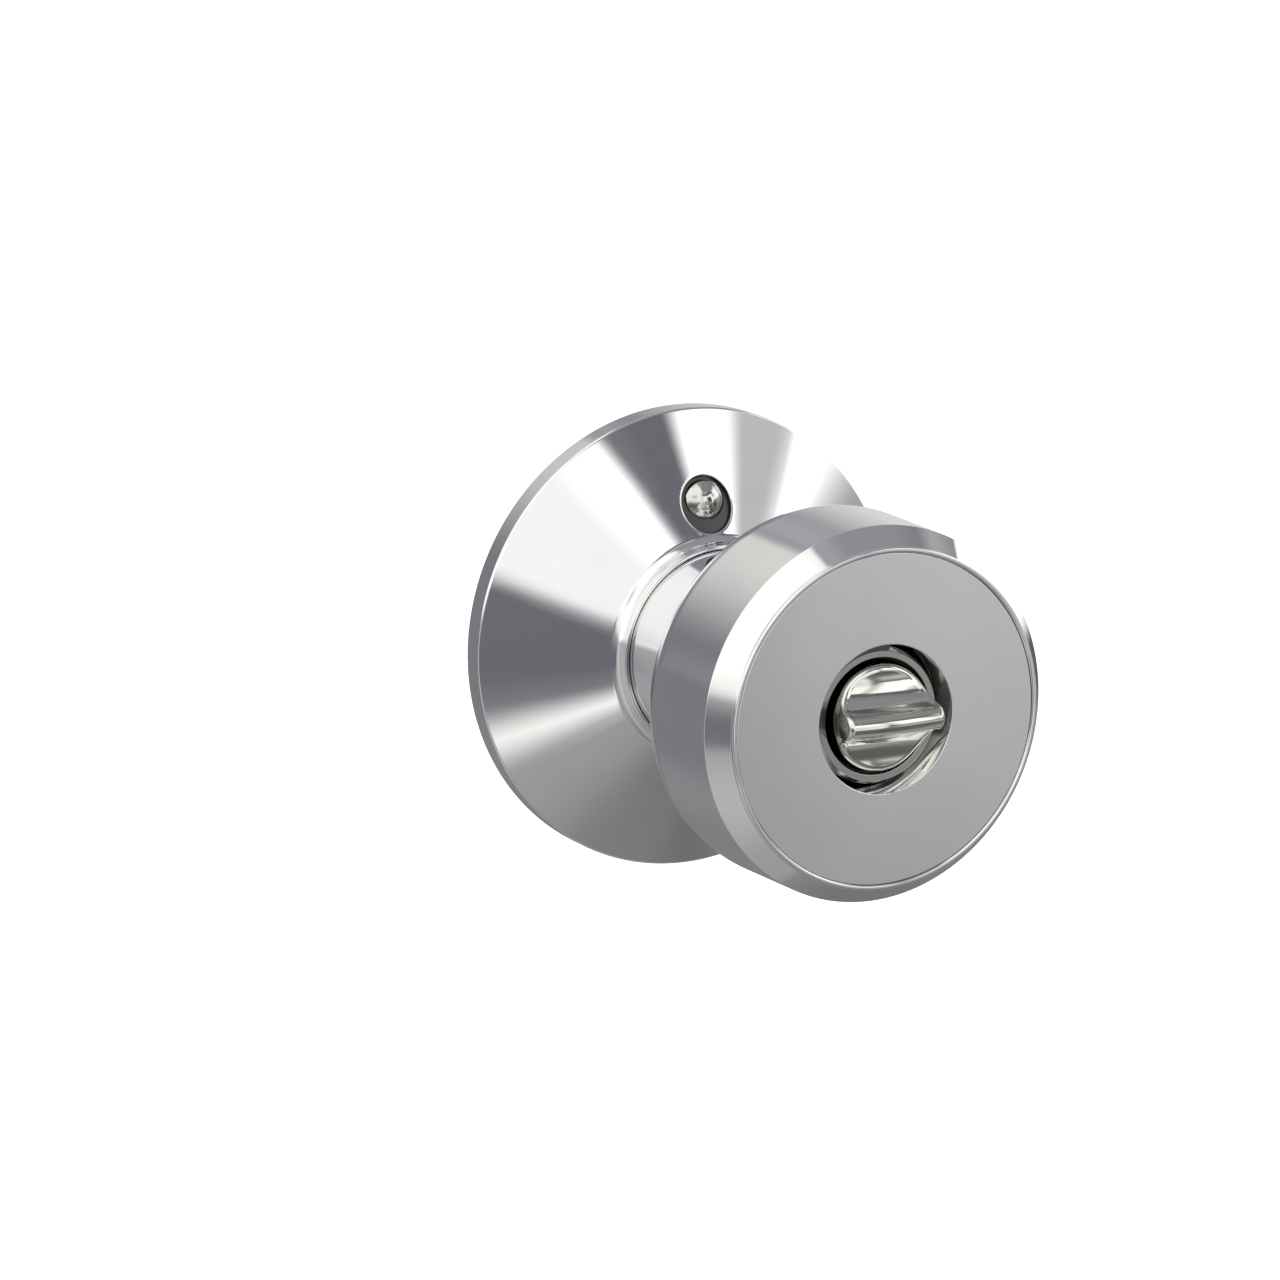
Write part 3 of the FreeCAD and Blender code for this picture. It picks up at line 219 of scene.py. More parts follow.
# %% Helper for finishes
noise_span = {"From_Min": 0.35, "From_Max": 0.65}
rgba = {"data_type": "RGBA"}


def start_metal(name):
    """A new metal: its material, tree and shader, and the place in millimetres."""
    material = bpy.data.materials.new(name)
    material.use_nodes = True
    tree = material.node_tree
    shader = tree.nodes["Principled BSDF"]
    feed(tree, shader, Metallic=1.0)
    here = add(tree, "ShaderNodeTexCoord")
    place = add(tree, "ShaderNodeMapping", Vector=here.outputs["Object"], Scale=[1 / mm] * 3)
    return material, tree, shader, place

# %% [markdown]
# ## Polished chrome
# The rose, the shell and the face are buffed brass or zinc with bright nickel and chrome over
# it. The plate itself is a near perfect mirror. Buffing leaves a waviness of a thousandth of a
# millimetre and a haze that comes and goes, which is enough to keep the mirror from looking drawn.

# %% Polished chrome
chrome, tree, shader, place = start_metal("polished_chrome")
drift = add(tree, "ShaderNodeTexNoise", Vector=place, Scale=0.07, Detail=3)
share = add(tree, "ShaderNodeMapRange", Value=drift, **noise_span)
bright = add(tree, "ShaderNodeMix", rgba, i0=share, i6=linear("#e6e6e9"), i7=linear("#eaeaea"))
clouds = add(tree, "ShaderNodeTexNoise", Vector=place, Scale=0.9, Detail=5, Roughness=0.6)
haze = add(tree, "ShaderNodeMapRange", Value=clouds, **noise_span, To_Min=0.012, To_Max=0.035)
waves = add(tree, "ShaderNodeTexNoise", Vector=place, Scale=0.11, Detail=1)
buffed = add(tree, "ShaderNodeBump", Height=waves, Distance=0.004 * mm)
print("chrome nodes so far:", len(tree.nodes))

# %% [markdown]
# ## Painted shade in the cups and on the ledge
# The bolts' cups and the ledge round the button lie deep. Their colour is darkened there as
# painted shade, and the cups are made rougher too. Two masks find these places: one by the
# distance from a bolt's axis and by the depth, one by the distance from the knob's axis.

# %% Painted shade in the cups and on the ledge
bolt_offset, cup_bore, cup_mouth, cup_depth = 20.2, 3.8, 11.7, 10.3
ledge_edge, ledge_front = 8.95, 57.3
where = add(tree, "ShaderNodeSeparateXYZ", Vector=place)
up = add(tree, "ShaderNodeMath", {"operation": "ABSOLUTE"}, i0=where.outputs["Z"])
beside = add(tree, "ShaderNodeMath", {"operation": "SUBTRACT"}, i0=up, i1=bolt_offset)
flat = add(tree, "ShaderNodeCombineXYZ", X=where.outputs["X"], Z=beside)
away = add(tree, "ShaderNodeVectorMath", {"operation": "LENGTH"}, i0=flat)
within = add(tree, "ShaderNodeMapRange", Value=away.outputs["Value"], From_Min=cup_bore + 0.03,
             From_Max=cup_bore + 0.2, To_Min=1, To_Max=0)
deep = add(tree, "ShaderNodeMapRange", Value=where.outputs["Y"], From_Min=-cup_mouth, From_Max=-cup_depth)
cup = add(tree, "ShaderNodeMath", {"operation": "MULTIPLY"}, i0=within, i1=deep)
# painted shade: the cups' colour darkens towards their floor
cup_painted_shade = add(tree, "ShaderNodeMix", rgba, i0=cup, i6=bright.outputs[2], i7=linear("#565655"))
dull = add(tree, "ShaderNodeMix", i0=cup, i2=haze, i3=0.3)
across = add(tree, "ShaderNodeCombineXYZ", X=where.outputs["X"], Z=where.outputs["Z"])
out = add(tree, "ShaderNodeVectorMath", {"operation": "LENGTH"}, i0=across)
near = add(tree, "ShaderNodeMapRange", Value=out.outputs["Value"], From_Min=ledge_edge,
           From_Max=ledge_edge + 0.15, To_Min=1, To_Max=0)
low = add(tree, "ShaderNodeMapRange", Value=where.outputs["Y"], From_Min=-ledge_front - 0.1,
          From_Max=-ledge_front)
ledge = add(tree, "ShaderNodeMath", {"operation": "MULTIPLY"}, i0=near, i1=low)
# painted shade: the narrow ledge round the button is darkened
ledge_painted_shade = add(tree, "ShaderNodeMix", rgba, i0=ledge, i6=cup_painted_shade.outputs[2], i7=linear("#b2b2b1"))
feed(tree, shader, Base_Color=ledge_painted_shade.outputs[2], Roughness=dull, Normal=buffed)
print("chrome nodes:", len(tree.nodes))

# %% [markdown]
# ## The button's chrome
# In the photo the turn button looks a little warmer and softer than the knob: its plate lies on
# a casting that was only tumbled, so it keeps a fine orange peel. Down its side, deep in the gap
# that it turns in, its colour is darkened as painted shade.

# %% Button chrome
gap_shade_radius, gap_shade_mouth, gap_shade_depth, gap_shade_share = 7.32, 61.5, 57.4, 0.85
button_chrome, tree, shader, place = start_metal("button_chrome")
drift = add(tree, "ShaderNodeTexNoise", Vector=place, Scale=0.3, Detail=3)
share = add(tree, "ShaderNodeMapRange", Value=drift, **noise_span)
warm = add(tree, "ShaderNodeMix", rgba, i0=share, i6=linear("#d9d8d1"), i7=linear("#e0dfd9"))
clouds = add(tree, "ShaderNodeTexNoise", Vector=place, Scale=1.8, Detail=5)
haze = add(tree, "ShaderNodeMapRange", Value=clouds, **noise_span, To_Min=0.04, To_Max=0.085)
peel = add(tree, "ShaderNodeTexNoise", Vector=place, Scale=0.5, Detail=2)
tumbled = add(tree, "ShaderNodeBump", Height=peel, Distance=0.006 * mm)
where = add(tree, "ShaderNodeSeparateXYZ", Vector=place)
flat = add(tree, "ShaderNodeCombineXYZ", X=where.outputs["X"], Z=where.outputs["Z"])
away = add(tree, "ShaderNodeVectorMath", {"operation": "LENGTH"}, i0=flat)
side = add(tree, "ShaderNodeMapRange", Value=away.outputs["Value"], From_Min=gap_shade_radius,
           From_Max=gap_shade_radius + 0.07)
deep = add(tree, "ShaderNodeMapRange", Value=where.outputs["Y"], From_Min=-gap_shade_mouth,
           From_Max=-gap_shade_depth, To_Max=gap_shade_share)
# painted shade: the button's side darkens deep in the gap that it turns in
gap = add(tree, "ShaderNodeMath", {"operation": "MULTIPLY"}, i0=side, i1=deep)
gap_painted_shade = add(tree, "ShaderNodeMix", rgba, i0=gap, i6=warm.outputs[2], i7=linear("#44423c"))
feed(tree, shader, Base_Color=gap_painted_shade.outputs[2], Roughness=haze, Normal=tumbled)
print("button chrome nodes:", len(tree.nodes))

# %% [markdown]
# ## The bolts' nickel
# The bolt's head is a bright nickel, a shade darker than the chrome. It was barrel-plated among
# hundreds of others, so its haze is stronger and its surface is full of small dents.

# %% Bolt nickel
bolt_chrome, tree, shader, place = start_metal("bolt_chrome")
drift = add(tree, "ShaderNodeTexNoise", Vector=place, Scale=0.5, Detail=3)
share = add(tree, "ShaderNodeMapRange", Value=drift, **noise_span)
nickel = add(tree, "ShaderNodeMix", rgba, i0=share, i6=linear("#c9c8c4"), i7=linear("#d3d2ce"))
clouds = add(tree, "ShaderNodeTexNoise", Vector=place, Scale=2.5, Detail=6)
haze = add(tree, "ShaderNodeMapRange", Value=clouds, **noise_span, To_Min=0.05, To_Max=0.13)
dents = add(tree, "ShaderNodeTexNoise", Vector=place, Scale=1.4, Detail=2)
dented = add(tree, "ShaderNodeBump", Height=dents, Distance=0.004 * mm)
feed(tree, shader, Base_Color=nickel.outputs[2], Roughness=haze, Normal=dented)
print("bolt nickel nodes:", len(tree.nodes))

# %% [markdown]
# ## Die-cast zinc
# The plate under the rose and the core inside the knob never get polished. Cast zinc has a dull
# grey skin, blotched where the metal chilled first, with a grain that the die's blasted face
# gave it and small pores. Two noises of very different size and a cell pattern make these.

# %% Die-cast zinc
zinc, tree, shader, place = start_metal("die_cast_zinc")
blotches = add(tree, "ShaderNodeTexNoise", Vector=place, Scale=0.16, Detail=6, Roughness=0.65)
share = add(tree, "ShaderNodeMapRange", Value=blotches, **noise_span)
skin = add(tree, "ShaderNodeMix", rgba, i0=share, i6=linear("#85888c"), i7=linear("#a4a6a8"))
dry = add(tree, "ShaderNodeMapRange", Value=blotches, **noise_span, To_Min=0.58, To_Max=0.4)
blasted = add(tree, "ShaderNodeTexNoise", Vector=place, Scale=3.5, Detail=4)
grain = add(tree, "ShaderNodeBump", Height=blasted, Distance=0.02 * mm)
cells = add(tree, "ShaderNodeTexVoronoi", {"feature": "F1"}, Vector=place, Scale=0.9)
pores = add(tree, "ShaderNodeMapRange", Value=cells.outputs["Distance"], From_Min=0.02, From_Max=0.12)
pitted = add(tree, "ShaderNodeBump", Height=pores, Distance=0.05 * mm, Normal=grain)
feed(tree, shader, Base_Color=skin.outputs[2], Roughness=dry, Normal=pitted)
print("zinc nodes:", len(tree.nodes))

# %% [markdown]
# ## Zinc-plated steel
# The cage, the driver and the spindle are pressed or drawn from strip and then plated. Under
# the thin zinc the strip's rolling lines still show, all one way, so a noise is stretched along
# X. The passivation over the zinc drifts between a bluish and a straw tint.

# %% Zinc-plated steel
plated, tree, shader, place = start_metal("plated_steel")
drift = add(tree, "ShaderNodeTexNoise", Vector=place, Scale=0.09, Detail=4)
share = add(tree, "ShaderNodeMapRange", Value=drift, **noise_span)
tint = add(tree, "ShaderNodeMix", rgba, i0=share, i6=linear("#a9b0ba"), i7=linear("#bfbaa8"))
along = add(tree, "ShaderNodeMapping", Vector=place, Scale=(0.04, 1, 1))
lines = add(tree, "ShaderNodeTexNoise", Vector=along, Scale=5, Detail=4)
satin = add(tree, "ShaderNodeMapRange", Value=lines, **noise_span, To_Min=0.24, To_Max=0.4)
rolled = add(tree, "ShaderNodeBump", Height=lines, Distance=0.004 * mm)
uneven = add(tree, "ShaderNodeTexNoise", Vector=place, Scale=0.8, Detail=4)
pressed = add(tree, "ShaderNodeBump", Height=uneven, Distance=0.006 * mm, Normal=rolled)
feed(tree, shader, Base_Color=tint.outputs[2], Roughness=satin, Normal=pressed)
print("plated steel nodes:", len(tree.nodes))

# %% [markdown]
# ## Oiled spring steel
# Springs, clips and the snap ring are tempered steel. Tempering leaves a brown to blue oxide,
# and a film of oil lies over it, which the shader's coat gives: a second, smoother reflection
# above the dark metal.

# %% Oiled spring steel
spring_steel, tree, shader, place = start_metal("spring_steel")
temper = add(tree, "ShaderNodeTexNoise", Vector=place, Scale=0.25, Detail=5)
share = add(tree, "ShaderNodeMapRange", Value=temper, **noise_span)
oxide = add(tree, "ShaderNodeMix", rgba, i0=share, i6=linear("#4d453e"), i7=linear("#4e5262"))
clouds = add(tree, "ShaderNodeTexNoise", Vector=place, Scale=2.2, Detail=5)
satin = add(tree, "ShaderNodeMapRange", Value=clouds, **noise_span, To_Min=0.28, To_Max=0.45)
scale = add(tree, "ShaderNodeTexNoise", Vector=place, Scale=4, Detail=3)
scaly = add(tree, "ShaderNodeBump", Height=scale, Distance=0.006 * mm)
feed(tree, shader, Base_Color=oxide.outputs[2], Roughness=satin, Normal=scaly,
     Coat_Weight=0.35, Coat_Roughness=0.12)
print("spring steel nodes:", len(tree.nodes))

# %% [markdown]
# ## Turned brass
# The bush, the thrust washer and the button's sleeve come off a lathe. The tool's feed leaves
# fine rings round the knob's axis: bands along Y on the outsides and rings on the end faces.
# Real feed marks are 0.1 mm apart. Here they stand wider, so that the picture can still show them.
# Brass dulls to brown where nobody wipes it, and the sleeve's mouth is darkened as painted shade.

# %% Turned brass
full_shade_front, no_shade_front, feed_scale = 52, 48, 1.6
brass, tree, shader, place = start_metal("bush_brass")
drift = add(tree, "ShaderNodeTexNoise", Vector=place, Scale=0.35, Detail=5)
share = add(tree, "ShaderNodeMapRange", Value=drift, **noise_span)
gold = add(tree, "ShaderNodeMix", rgba, i0=share, i6=linear("#a17a37"), i7=linear("#cda85f"))
where = add(tree, "ShaderNodeSeparateXYZ", Vector=place)
# painted shade: the sleeve's mouth darkens towards the button, deep in the gap
mouth = add(tree, "ShaderNodeMapRange", Value=where.outputs["Y"], From_Min=-full_shade_front,
            From_Max=-no_shade_front, To_Min=1, To_Max=0)
gap_painted_shade = add(tree, "ShaderNodeMix", rgba, i0=mouth, i6=gold.outputs[2], i7=linear("#2b2823"))
clouds = add(tree, "ShaderNodeTexNoise", Vector=place, Scale=1.2, Detail=5)
satin = add(tree, "ShaderNodeMapRange", Value=clouds, **noise_span, To_Min=0.2, To_Max=0.38)
bands = add(tree, "ShaderNodeTexWave", {"wave_type": "BANDS", "bands_direction": "Y"},
            Vector=place, Scale=feed_scale)
rings = add(tree, "ShaderNodeTexWave", {"wave_type": "RINGS", "rings_direction": "Y"},
            Vector=place, Scale=feed_scale)
marks = add(tree, "ShaderNodeMath", {"operation": "MULTIPLY"}, i0=bands.outputs["Fac"],
            i1=rings.outputs["Fac"])
turned = add(tree, "ShaderNodeBump", Height=marks, Distance=0.006 * mm)
feed(tree, shader, Base_Color=gap_painted_shade.outputs[2], Roughness=satin, Normal=turned)
print("brass nodes:", len(tree.nodes))

# %% [markdown]
# ## Solids that stay
# The pieces that hide in the rose and in the knob keep their solids and only need their finish.
# The record names a slot for each node, so one table carries the finishes over.

# %% Finishes of the solids
finishes = {
    "polished_chrome": chrome, "button_chrome": button_chrome, "bolt_chrome": bolt_chrome,
    "die_cast_zinc": zinc, "plated_steel": plated, "spring_steel": spring_steel, "bush_brass": brass,
}
for part in frame["record"]["subparts"]:
    node = frame["nodes"][part["node"]]
    node.data.materials.clear()
    node.data.materials.append(finishes[part["material_slot"]])

# %% [markdown]
# ## Turned pieces
# Nearly everything on this knob was spun, turned or stamped round one axis. So we draw half a
# section with a pen, in millimetres of radius and of distance in front of the door, and spin it
# once round. A corner with a third number is rounded: its arc is spun from the pen's vertex, so
# it is a true arc. The flat bands beside it stay flat because rings stand close to their ends.
# Every finished piece gets its slot, follows its body and takes the place of its solids.

# %% Helpers for turned pieces
same_place = 0.0005 * mm


def spot(radius, front):
    """A place in the section, which is drawn on the X side of the axis."""
    return Vector((radius * mm, -front * mm, 0))


def line_to(wire, pen, target, hold=0.05):
    """Draws a straight run from the pen to the target, with support points near its ends."""
    start, run = pen.co.copy(), target - pen.co
    stops = [run.length]
    if run.length > 8 * hold * mm:
        stops = [hold * mm, run.length - hold * mm, run.length]
    for distance in stops:
        pen = bmesh.ops.extrude_vert_indiv(wire, verts=[pen])["verts"][0]
        pen.co = start + run.normalized() * distance
    return pen


def draw_section(corners, arc_steps=12, closed=True):
    """A wire through (radius, front) or (radius, front, rounding) corners. The first is sharp."""
    wire = bmesh.new()
    places = [spot(radius, front) for radius, front, *_ in corners]
    pen = bmesh.ops.create_vert(wire, co=places[0])["vert"][0]
    for index in range(1, len(corners)):
        here = places[index]
        if len(corners[index]) == 2:
            pen = line_to(wire, pen, here)
            continue
        back = (places[index - 1] - here).normalized()
        ahead = (places[(index + 1) % len(places)] - here).normalized()
        half = back.angle(ahead) / 2
        rounding = corners[index][2] * mm
        middle = here + (back + ahead).normalized() * rounding / math.sin(half)
        first = here + back * rounding / math.tan(half)
        last = here + ahead * rounding / math.tan(half)
        pen = line_to(wire, pen, first)
        axis = (first - middle).cross(last - middle).normalized()
        arc = bmesh.ops.spin(wire, geom=[pen], cent=middle, axis=axis, angle=math.pi - 2 * half,
                             steps=arc_steps)
        pen = arc["geom_last"][0]
    if closed:
        line_to(wire, pen, places[0])
    bmesh.ops.remove_doubles(wire, verts=wire.verts, dist=same_place)
    return wire


def cut_run(wire, start, end, cuts):
    """Cuts the longest straight edge that joins two places into shorter ones."""
    run, beside = end - start, 0.1 * mm
    near = [edge for edge in wire.edges if edge.calc_length() > 0.8 * run.length
            and (edge.verts[0].co - start).cross(run).length < beside * run.length]
    bmesh.ops.subdivide_edges(wire, edges=near[:1], cuts=cuts)


def spin_round(mesh, steps):
    """Turns the whole wire once round the knob's axis."""
    bmesh.ops.spin(mesh, geom=mesh.verts[:] + mesh.edges[:], cent=(0, 0, 0), axis=(0, 1, 0),
                   angle=2 * math.pi, steps=steps, use_merge=True)
    bmesh.ops.remove_doubles(mesh, verts=mesh.verts, dist=same_place)
    bmesh.ops.recalc_face_normals(mesh, faces=mesh.faces)


def finish_piece(mesh, name, body, slot, *nodes, crease=38):
    """Turns a bmesh into a smooth piece that stands for solids. It follows its body, if it has one."""
    for face in mesh.faces:
        face.smooth = True
    for edge in mesh.edges:
        edge.smooth = edge.calc_face_angle(0) < math.radians(crease)
    data = bpy.data.meshes.new(name)
    mesh.to_mesh(data)
    mesh.free()
    data.materials.append(finishes[slot])
    piece = bpy.data.objects.new(name, data)
    bpy.context.scene.collection.objects.link(piece)
    if body:
        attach(piece, body)
    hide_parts(*nodes)
    print(name, "triangles:", sum(len(face.vertices) - 2 for face in data.polygons))
    return piece

# %% [markdown]
# ## Holes in turned skins
# A drawn cup or a drilled hole breaks a turned skin. We open the skin where the hole comes,
# bridge the ragged edge to a clean ring, and draw that ring inwards step by step. Each step
# says where the ring's vertices go, so the hole's mouth can follow a curved skin exactly.

# %% Helpers for holes
def open_skin(mesh, doomed, place_ring, segments=120):
    """Deletes faces, bridges the opening to a placed ring and returns the ring's edges."""
    bmesh.ops.delete(mesh, geom=doomed, context="FACES")
    ragged = [edge for edge in mesh.edges if edge.is_boundary]
    ring = bmesh.ops.create_circle(mesh, segments=segments, radius=mm)["verts"]
    edges = list({edge for vertex in ring for edge in vertex.link_edges})
    for vertex in ring:
        vertex.co = place_ring(math.atan2(vertex.co.x, vertex.co.y))
    bmesh.ops.bridge_loops(mesh, edges=ragged + edges)
    return edges


def draw_ring(mesh, edges, turn_of, place_ring):
    """Pulls a new ring out of the last one and places it."""
    pulled = bmesh.ops.extrude_edge_only(mesh, edges=edges)["geom"]
    for vertex in [item for item in pulled if isinstance(item, bmesh.types.BMVert)]:
        vertex.co = place_ring(turn_of(vertex.co))
    return [item for item in pulled if isinstance(item, bmesh.types.BMEdge)]

# %% [markdown]
# ## Rose
# The rose is stamped from thin sheet: a straight rim, a cone, a hollow of 2 mm and a collar that
# leaves the neck a hair of room. Two cups for the bolts' heads are drawn into the cone. Their
# mouths roll over with a small lip, which is what catches the light round the screw.

# %% Rose
rose_radius, rim_height, cup_lip, lip_steps, cup_floor = 33, 3.4, 0.35, 8, 7.04
collar_radius, collar_fillet, collar_front, cone_foot = 15.2, 2.0, 13.5, 11.575
cone_slope = (cone_foot - rim_height) / (rose_radius - collar_radius)
tilt = math.atan(cone_slope)
hollow_front = cone_foot + collar_fillet * (math.cos(tilt) - cone_slope * (1 - math.sin(tilt)))


def rose_front(radius):
    """How far the rose's outer skin stands in front of the door at a radius."""
    inside = collar_radius + collar_fillet - radius
    if inside <= collar_fillet * math.sin(tilt):
        return cone_foot - cone_slope * (radius - collar_radius)
    return hollow_front - math.sqrt(max(collar_fillet ** 2 - inside ** 2, 0))


outside = rose_radius - 0.001  # a hair less than the solid, so that the box doesn't grow
rose = draw_section([
    (outside, 0), (outside, rim_height, 0.4),
    (collar_radius, cone_foot, collar_fillet), (collar_radius, collar_front, 0.2),
    (14.54, collar_front, 0.25), (14.54, 11.2, 2.6), (32.4, 3.02), (32.4, 0),
], arc_steps=16)
cut_run(rose, spot(rose_radius, rim_height), spot(collar_radius, cone_foot), 52)
spin_round(rose, 360)


def cup_ring(side, radius, drop):
    """Places a ring round a cup's axis, at a drop that may depend on the skin's front."""
    def place(turn):
        x, z = radius * math.sin(turn), side * bolt_offset + radius * math.cos(turn)
        return Vector((x, -drop(rose_front(math.hypot(x, z))), z)) * mm
    return place


for side in (1, -1):
    axis = Vector((0, 0, side * bolt_offset * mm))
    doomed = [face for face in rose.faces if face.normal.y < -0.05
              and face.calc_center_median().xz.length > (collar_radius + 0.1) * mm
              and (face.calc_center_median() - axis).xz.length < (cup_bore + cup_lip + 0.3) * mm]
    edges = open_skin(rose, doomed, cup_ring(side, cup_bore + cup_lip, lambda front: front))
    turn_of = lambda co: math.atan2(co.x, co.z - side * bolt_offset * mm)
    for step in range(1, lip_steps + 1):
        share = step / lip_steps
        radius, drop = cup_bore + cup_lip * (1 - share) ** 2, cup_lip * share ** 2
        edges = draw_ring(rose, edges, turn_of, cup_ring(side, radius, lambda front: front - drop))
    for radius, front in ((cup_bore, cup_floor + 0.3), (cup_bore - 0.09, cup_floor + 0.09),
                          (cup_bore - 0.3, cup_floor), (2.5, cup_floor), (2.5, cup_floor - 0.55)):
        edges = draw_ring(rose, edges, turn_of, cup_ring(side, radius, lambda skin: front))
    bmesh.ops.contextual_create(rose, geom=edges)
bmesh.ops.recalc_face_normals(rose, faces=rose.faces)
finish_piece(rose, "rose_stamping", "rose_body", "polished_chrome", "rose")

# %% [markdown]
# ## Through-bolts
# The bolt's head is a dome: a cap of a sphere on a short side. The driver's cross is pressed
# into it while it is soft, so its edges are round. The thread starts behind the door: one small
# profile, as long as the pitch, is spun many times round the bolt while it moves along, and each
# turn joins the one before. It dies out at both ends, where its crest sinks to the core.

# %% Through-bolts
head_radius, head_height, cap_radius, cap_turn = 3.2, 3.2, 3.56, math.radians(60.54)
cross_reach, cross_half, cross_depth, cross_turn = 1.2, 0.27, 1.0, math.radians(9)
pitch, thread_front, thread_back, crest, core, sunk = 0.8, -11.5, -21.4, 2.1, 1.72, 0.03
thread_steps = 36
apex = cup_floor + head_height
cap_corner = cap_radius * math.tan(cap_turn / 2)


def step_up(value, start, end):
    """Rises smoothly from 0 to 1."""
    share = min(max((value - start) / (end - start), 0), 1)
    return share * share * (3 - 2 * share)


for name, side in (("top", 1), ("bottom", -1)):
    bolt = draw_section([
        (0, apex), (cap_corner, apex, cap_radius), (head_radius, apex - 1.987, 0.15),
        (head_radius, cup_floor + 0.02), (1.9, cup_floor + 0.02), (1.9, thread_front + 0.3),
        (core, thread_front + 0.1), (core, -21.6), (1.5, -22), (0, -22),
    ], closed=False, arc_steps=48)
    spin_round(bolt, 160)
    for vertex in bolt.verts:
        if vertex.co.y < -(apex - 1.2) * mm:
            turned = Matrix.Rotation(cross_turn, 3, "Y") @ vertex.co / mm
            narrow, long = sorted((abs(turned.x), abs(turned.z)))
            pressed = step_up(cross_half - narrow, -0.06, 0.06) * step_up(cross_reach - long, -0.06, 0.3)
            vertex.co.y += pressed * cross_depth * (1 - 0.3 * long) * mm
    turns = int((thread_front - thread_back) / pitch)
    thread = bmesh.new()
    pen = bmesh.ops.create_vert(thread, co=spot(core, thread_front))["vert"][0]
    for radius, along in ((crest, 0.3), (crest, 0.42), (core, 0.72), (core, pitch)):
        pen = line_to(thread, pen, spot(radius, thread_front - along), hold=1)
    bmesh.ops.spin(thread, geom=thread.verts[:] + thread.edges[:], cent=(0, 0, 0), axis=(0, 1, 0),
                   angle=2 * math.pi * turns, steps=thread_steps * turns,
                   dvec=(0, pitch * mm / thread_steps, 0))
    bmesh.ops.remove_doubles(thread, verts=thread.verts, dist=0.002 * mm)
    bmesh.ops.recalc_face_normals(thread, faces=thread.faces)
    for vertex in thread.verts:
        front, radius = -vertex.co.y / mm, vertex.co.xz.length / mm
        from_end = min(thread_front - front, front - (thread_front - pitch * (turns + 1)))
        fade = min(max(from_end / (1.5 * pitch), 0), 1)
        wanted = core - sunk + (radius - core + sunk) * fade
        vertex.co.x *= wanted / radius
        vertex.co.z *= wanted / radius
    for mesh, piece in ((bolt, "bolt"), (thread, "bolt_thread")):
        bmesh.ops.translate(mesh, verts=mesh.verts, vec=(0, 0, side * bolt_offset * mm))
        finish_piece(mesh, f"{piece}_{name}", "rose_body", "bolt_chrome", f"through_bolt_{name}")

# %% [markdown]
# ## Knob shell
# The shell is spun from one disc: neck, a hollow of 4 mm, a back that rounds into the side with
# 6.5 mm, and a side that tapers by a hair so that it leaves the former. The bevel and the bead
# round the face are turned last and crisp. Below the neck a small hole lets the release tool in.

# %% Knob shell
neck_radius, neck_inside, hole_front, hole_radius = 14.5, 12.5, 20.5, 1.6
shell = draw_section([
    (neck_inside, 11.4), (neck_radius, 11.4, 0.15), (neck_radius, 31.28, 4.0), (26.1, 39.4, 6.5),
    (25.87, 56.14, 0.2), (23.46, 59.15, 0.12), (23.46, 59.7, 0.25), (22.75, 59.7, 0.25),
    (22.75, 58.1), (24.27, 56.2), (24.27, 41.2, 4.9), (neck_inside, 33.0, 2.0),
], arc_steps=20)
cut_run(shell, spot(neck_radius, 11.4), spot(neck_radius, 31.28), 30)
cut_run(shell, spot(neck_inside, 33.0), spot(neck_inside, 11.4), 40)
spin_round(shell, 320)


def hole_ring(radius, skin):
    """Places a ring round the hole's axis on the underside, at a distance from the knob's axis."""
    def place(turn):
        x = radius * math.sin(turn)
        return Vector((x, -(hole_front + radius * math.cos(turn)), -math.sqrt(skin ** 2 - x ** 2))) * mm
    return place


def near_hole(skin, margin):
    """Faces of one of the neck's skins round the hole."""
    hole = Vector((0, -hole_front * mm))
    return [face for face in shell.faces if face.calc_center_median().z < -10 * mm
            and abs(face.calc_center_median().xz.length / mm - skin) < 0.05
            and (face.calc_center_median().xy - hole).length < (hole_radius + margin) * mm]


turn_of = lambda co: math.atan2(co.x, -co.y - hole_front * mm)
edges = open_skin(shell, near_hole(neck_radius, 0.5), hole_ring(hole_radius + 0.2, neck_radius), 72)
for radius, skin in ((hole_radius + 0.06, neck_radius - 0.06), (hole_radius, neck_radius - 0.2),
                     (hole_radius, neck_inside + 0.1)):
    edges = draw_ring(shell, edges, turn_of, hole_ring(radius, skin))
bmesh.ops.delete(shell, geom=near_hole(neck_inside, 0.5), context="FACES")
bmesh.ops.bridge_loops(shell, edges=[edge for edge in shell.edges if edge.is_boundary])
bmesh.ops.recalc_face_normals(shell, faces=shell.faces)
finish_piece(shell, "knob_shell_spun", "knob_body", "polished_chrome", "knob_shell")

# %% [markdown]
# ## Face
# The face is a separate flat plate pressed into the bead, with a shallow recess round the turn
# button: a slanted wall and a narrow ledge. Its flat is one broad mirror, so it must stay truly
# flat, and only its edges are broken by a tenth of a millimetre.

# %% Face
face = draw_section([
    (22.7, 58.43), (22.7, 59.43, 0.1), (10.27, 59.43, 0.12), (8.94, 57.2, 0.08), (8.02, 57.2, 0.12),
    (8.02, 56.2), (9.94, 56.2), (11.27, 58.43),
], arc_steps=8)
spin_round(face, 256)
finish_piece(face, "knob_face_plate", "knob_body", "polished_chrome", "knob_face")

# %% [markdown]
# ## Turn button
# The button is one casting: a round slug with two hollows for finger and thumb, and a bar with a
# full round top between them. We swing a pen through the three arcs of that section, draw it
# into a sheet along the bar, fit the sheet to a circle and dome it a little along the bar. Its
# rim is then pulled outwards and down in small steps, a rounding of 0.9 mm that follows the
# hollows up and down.

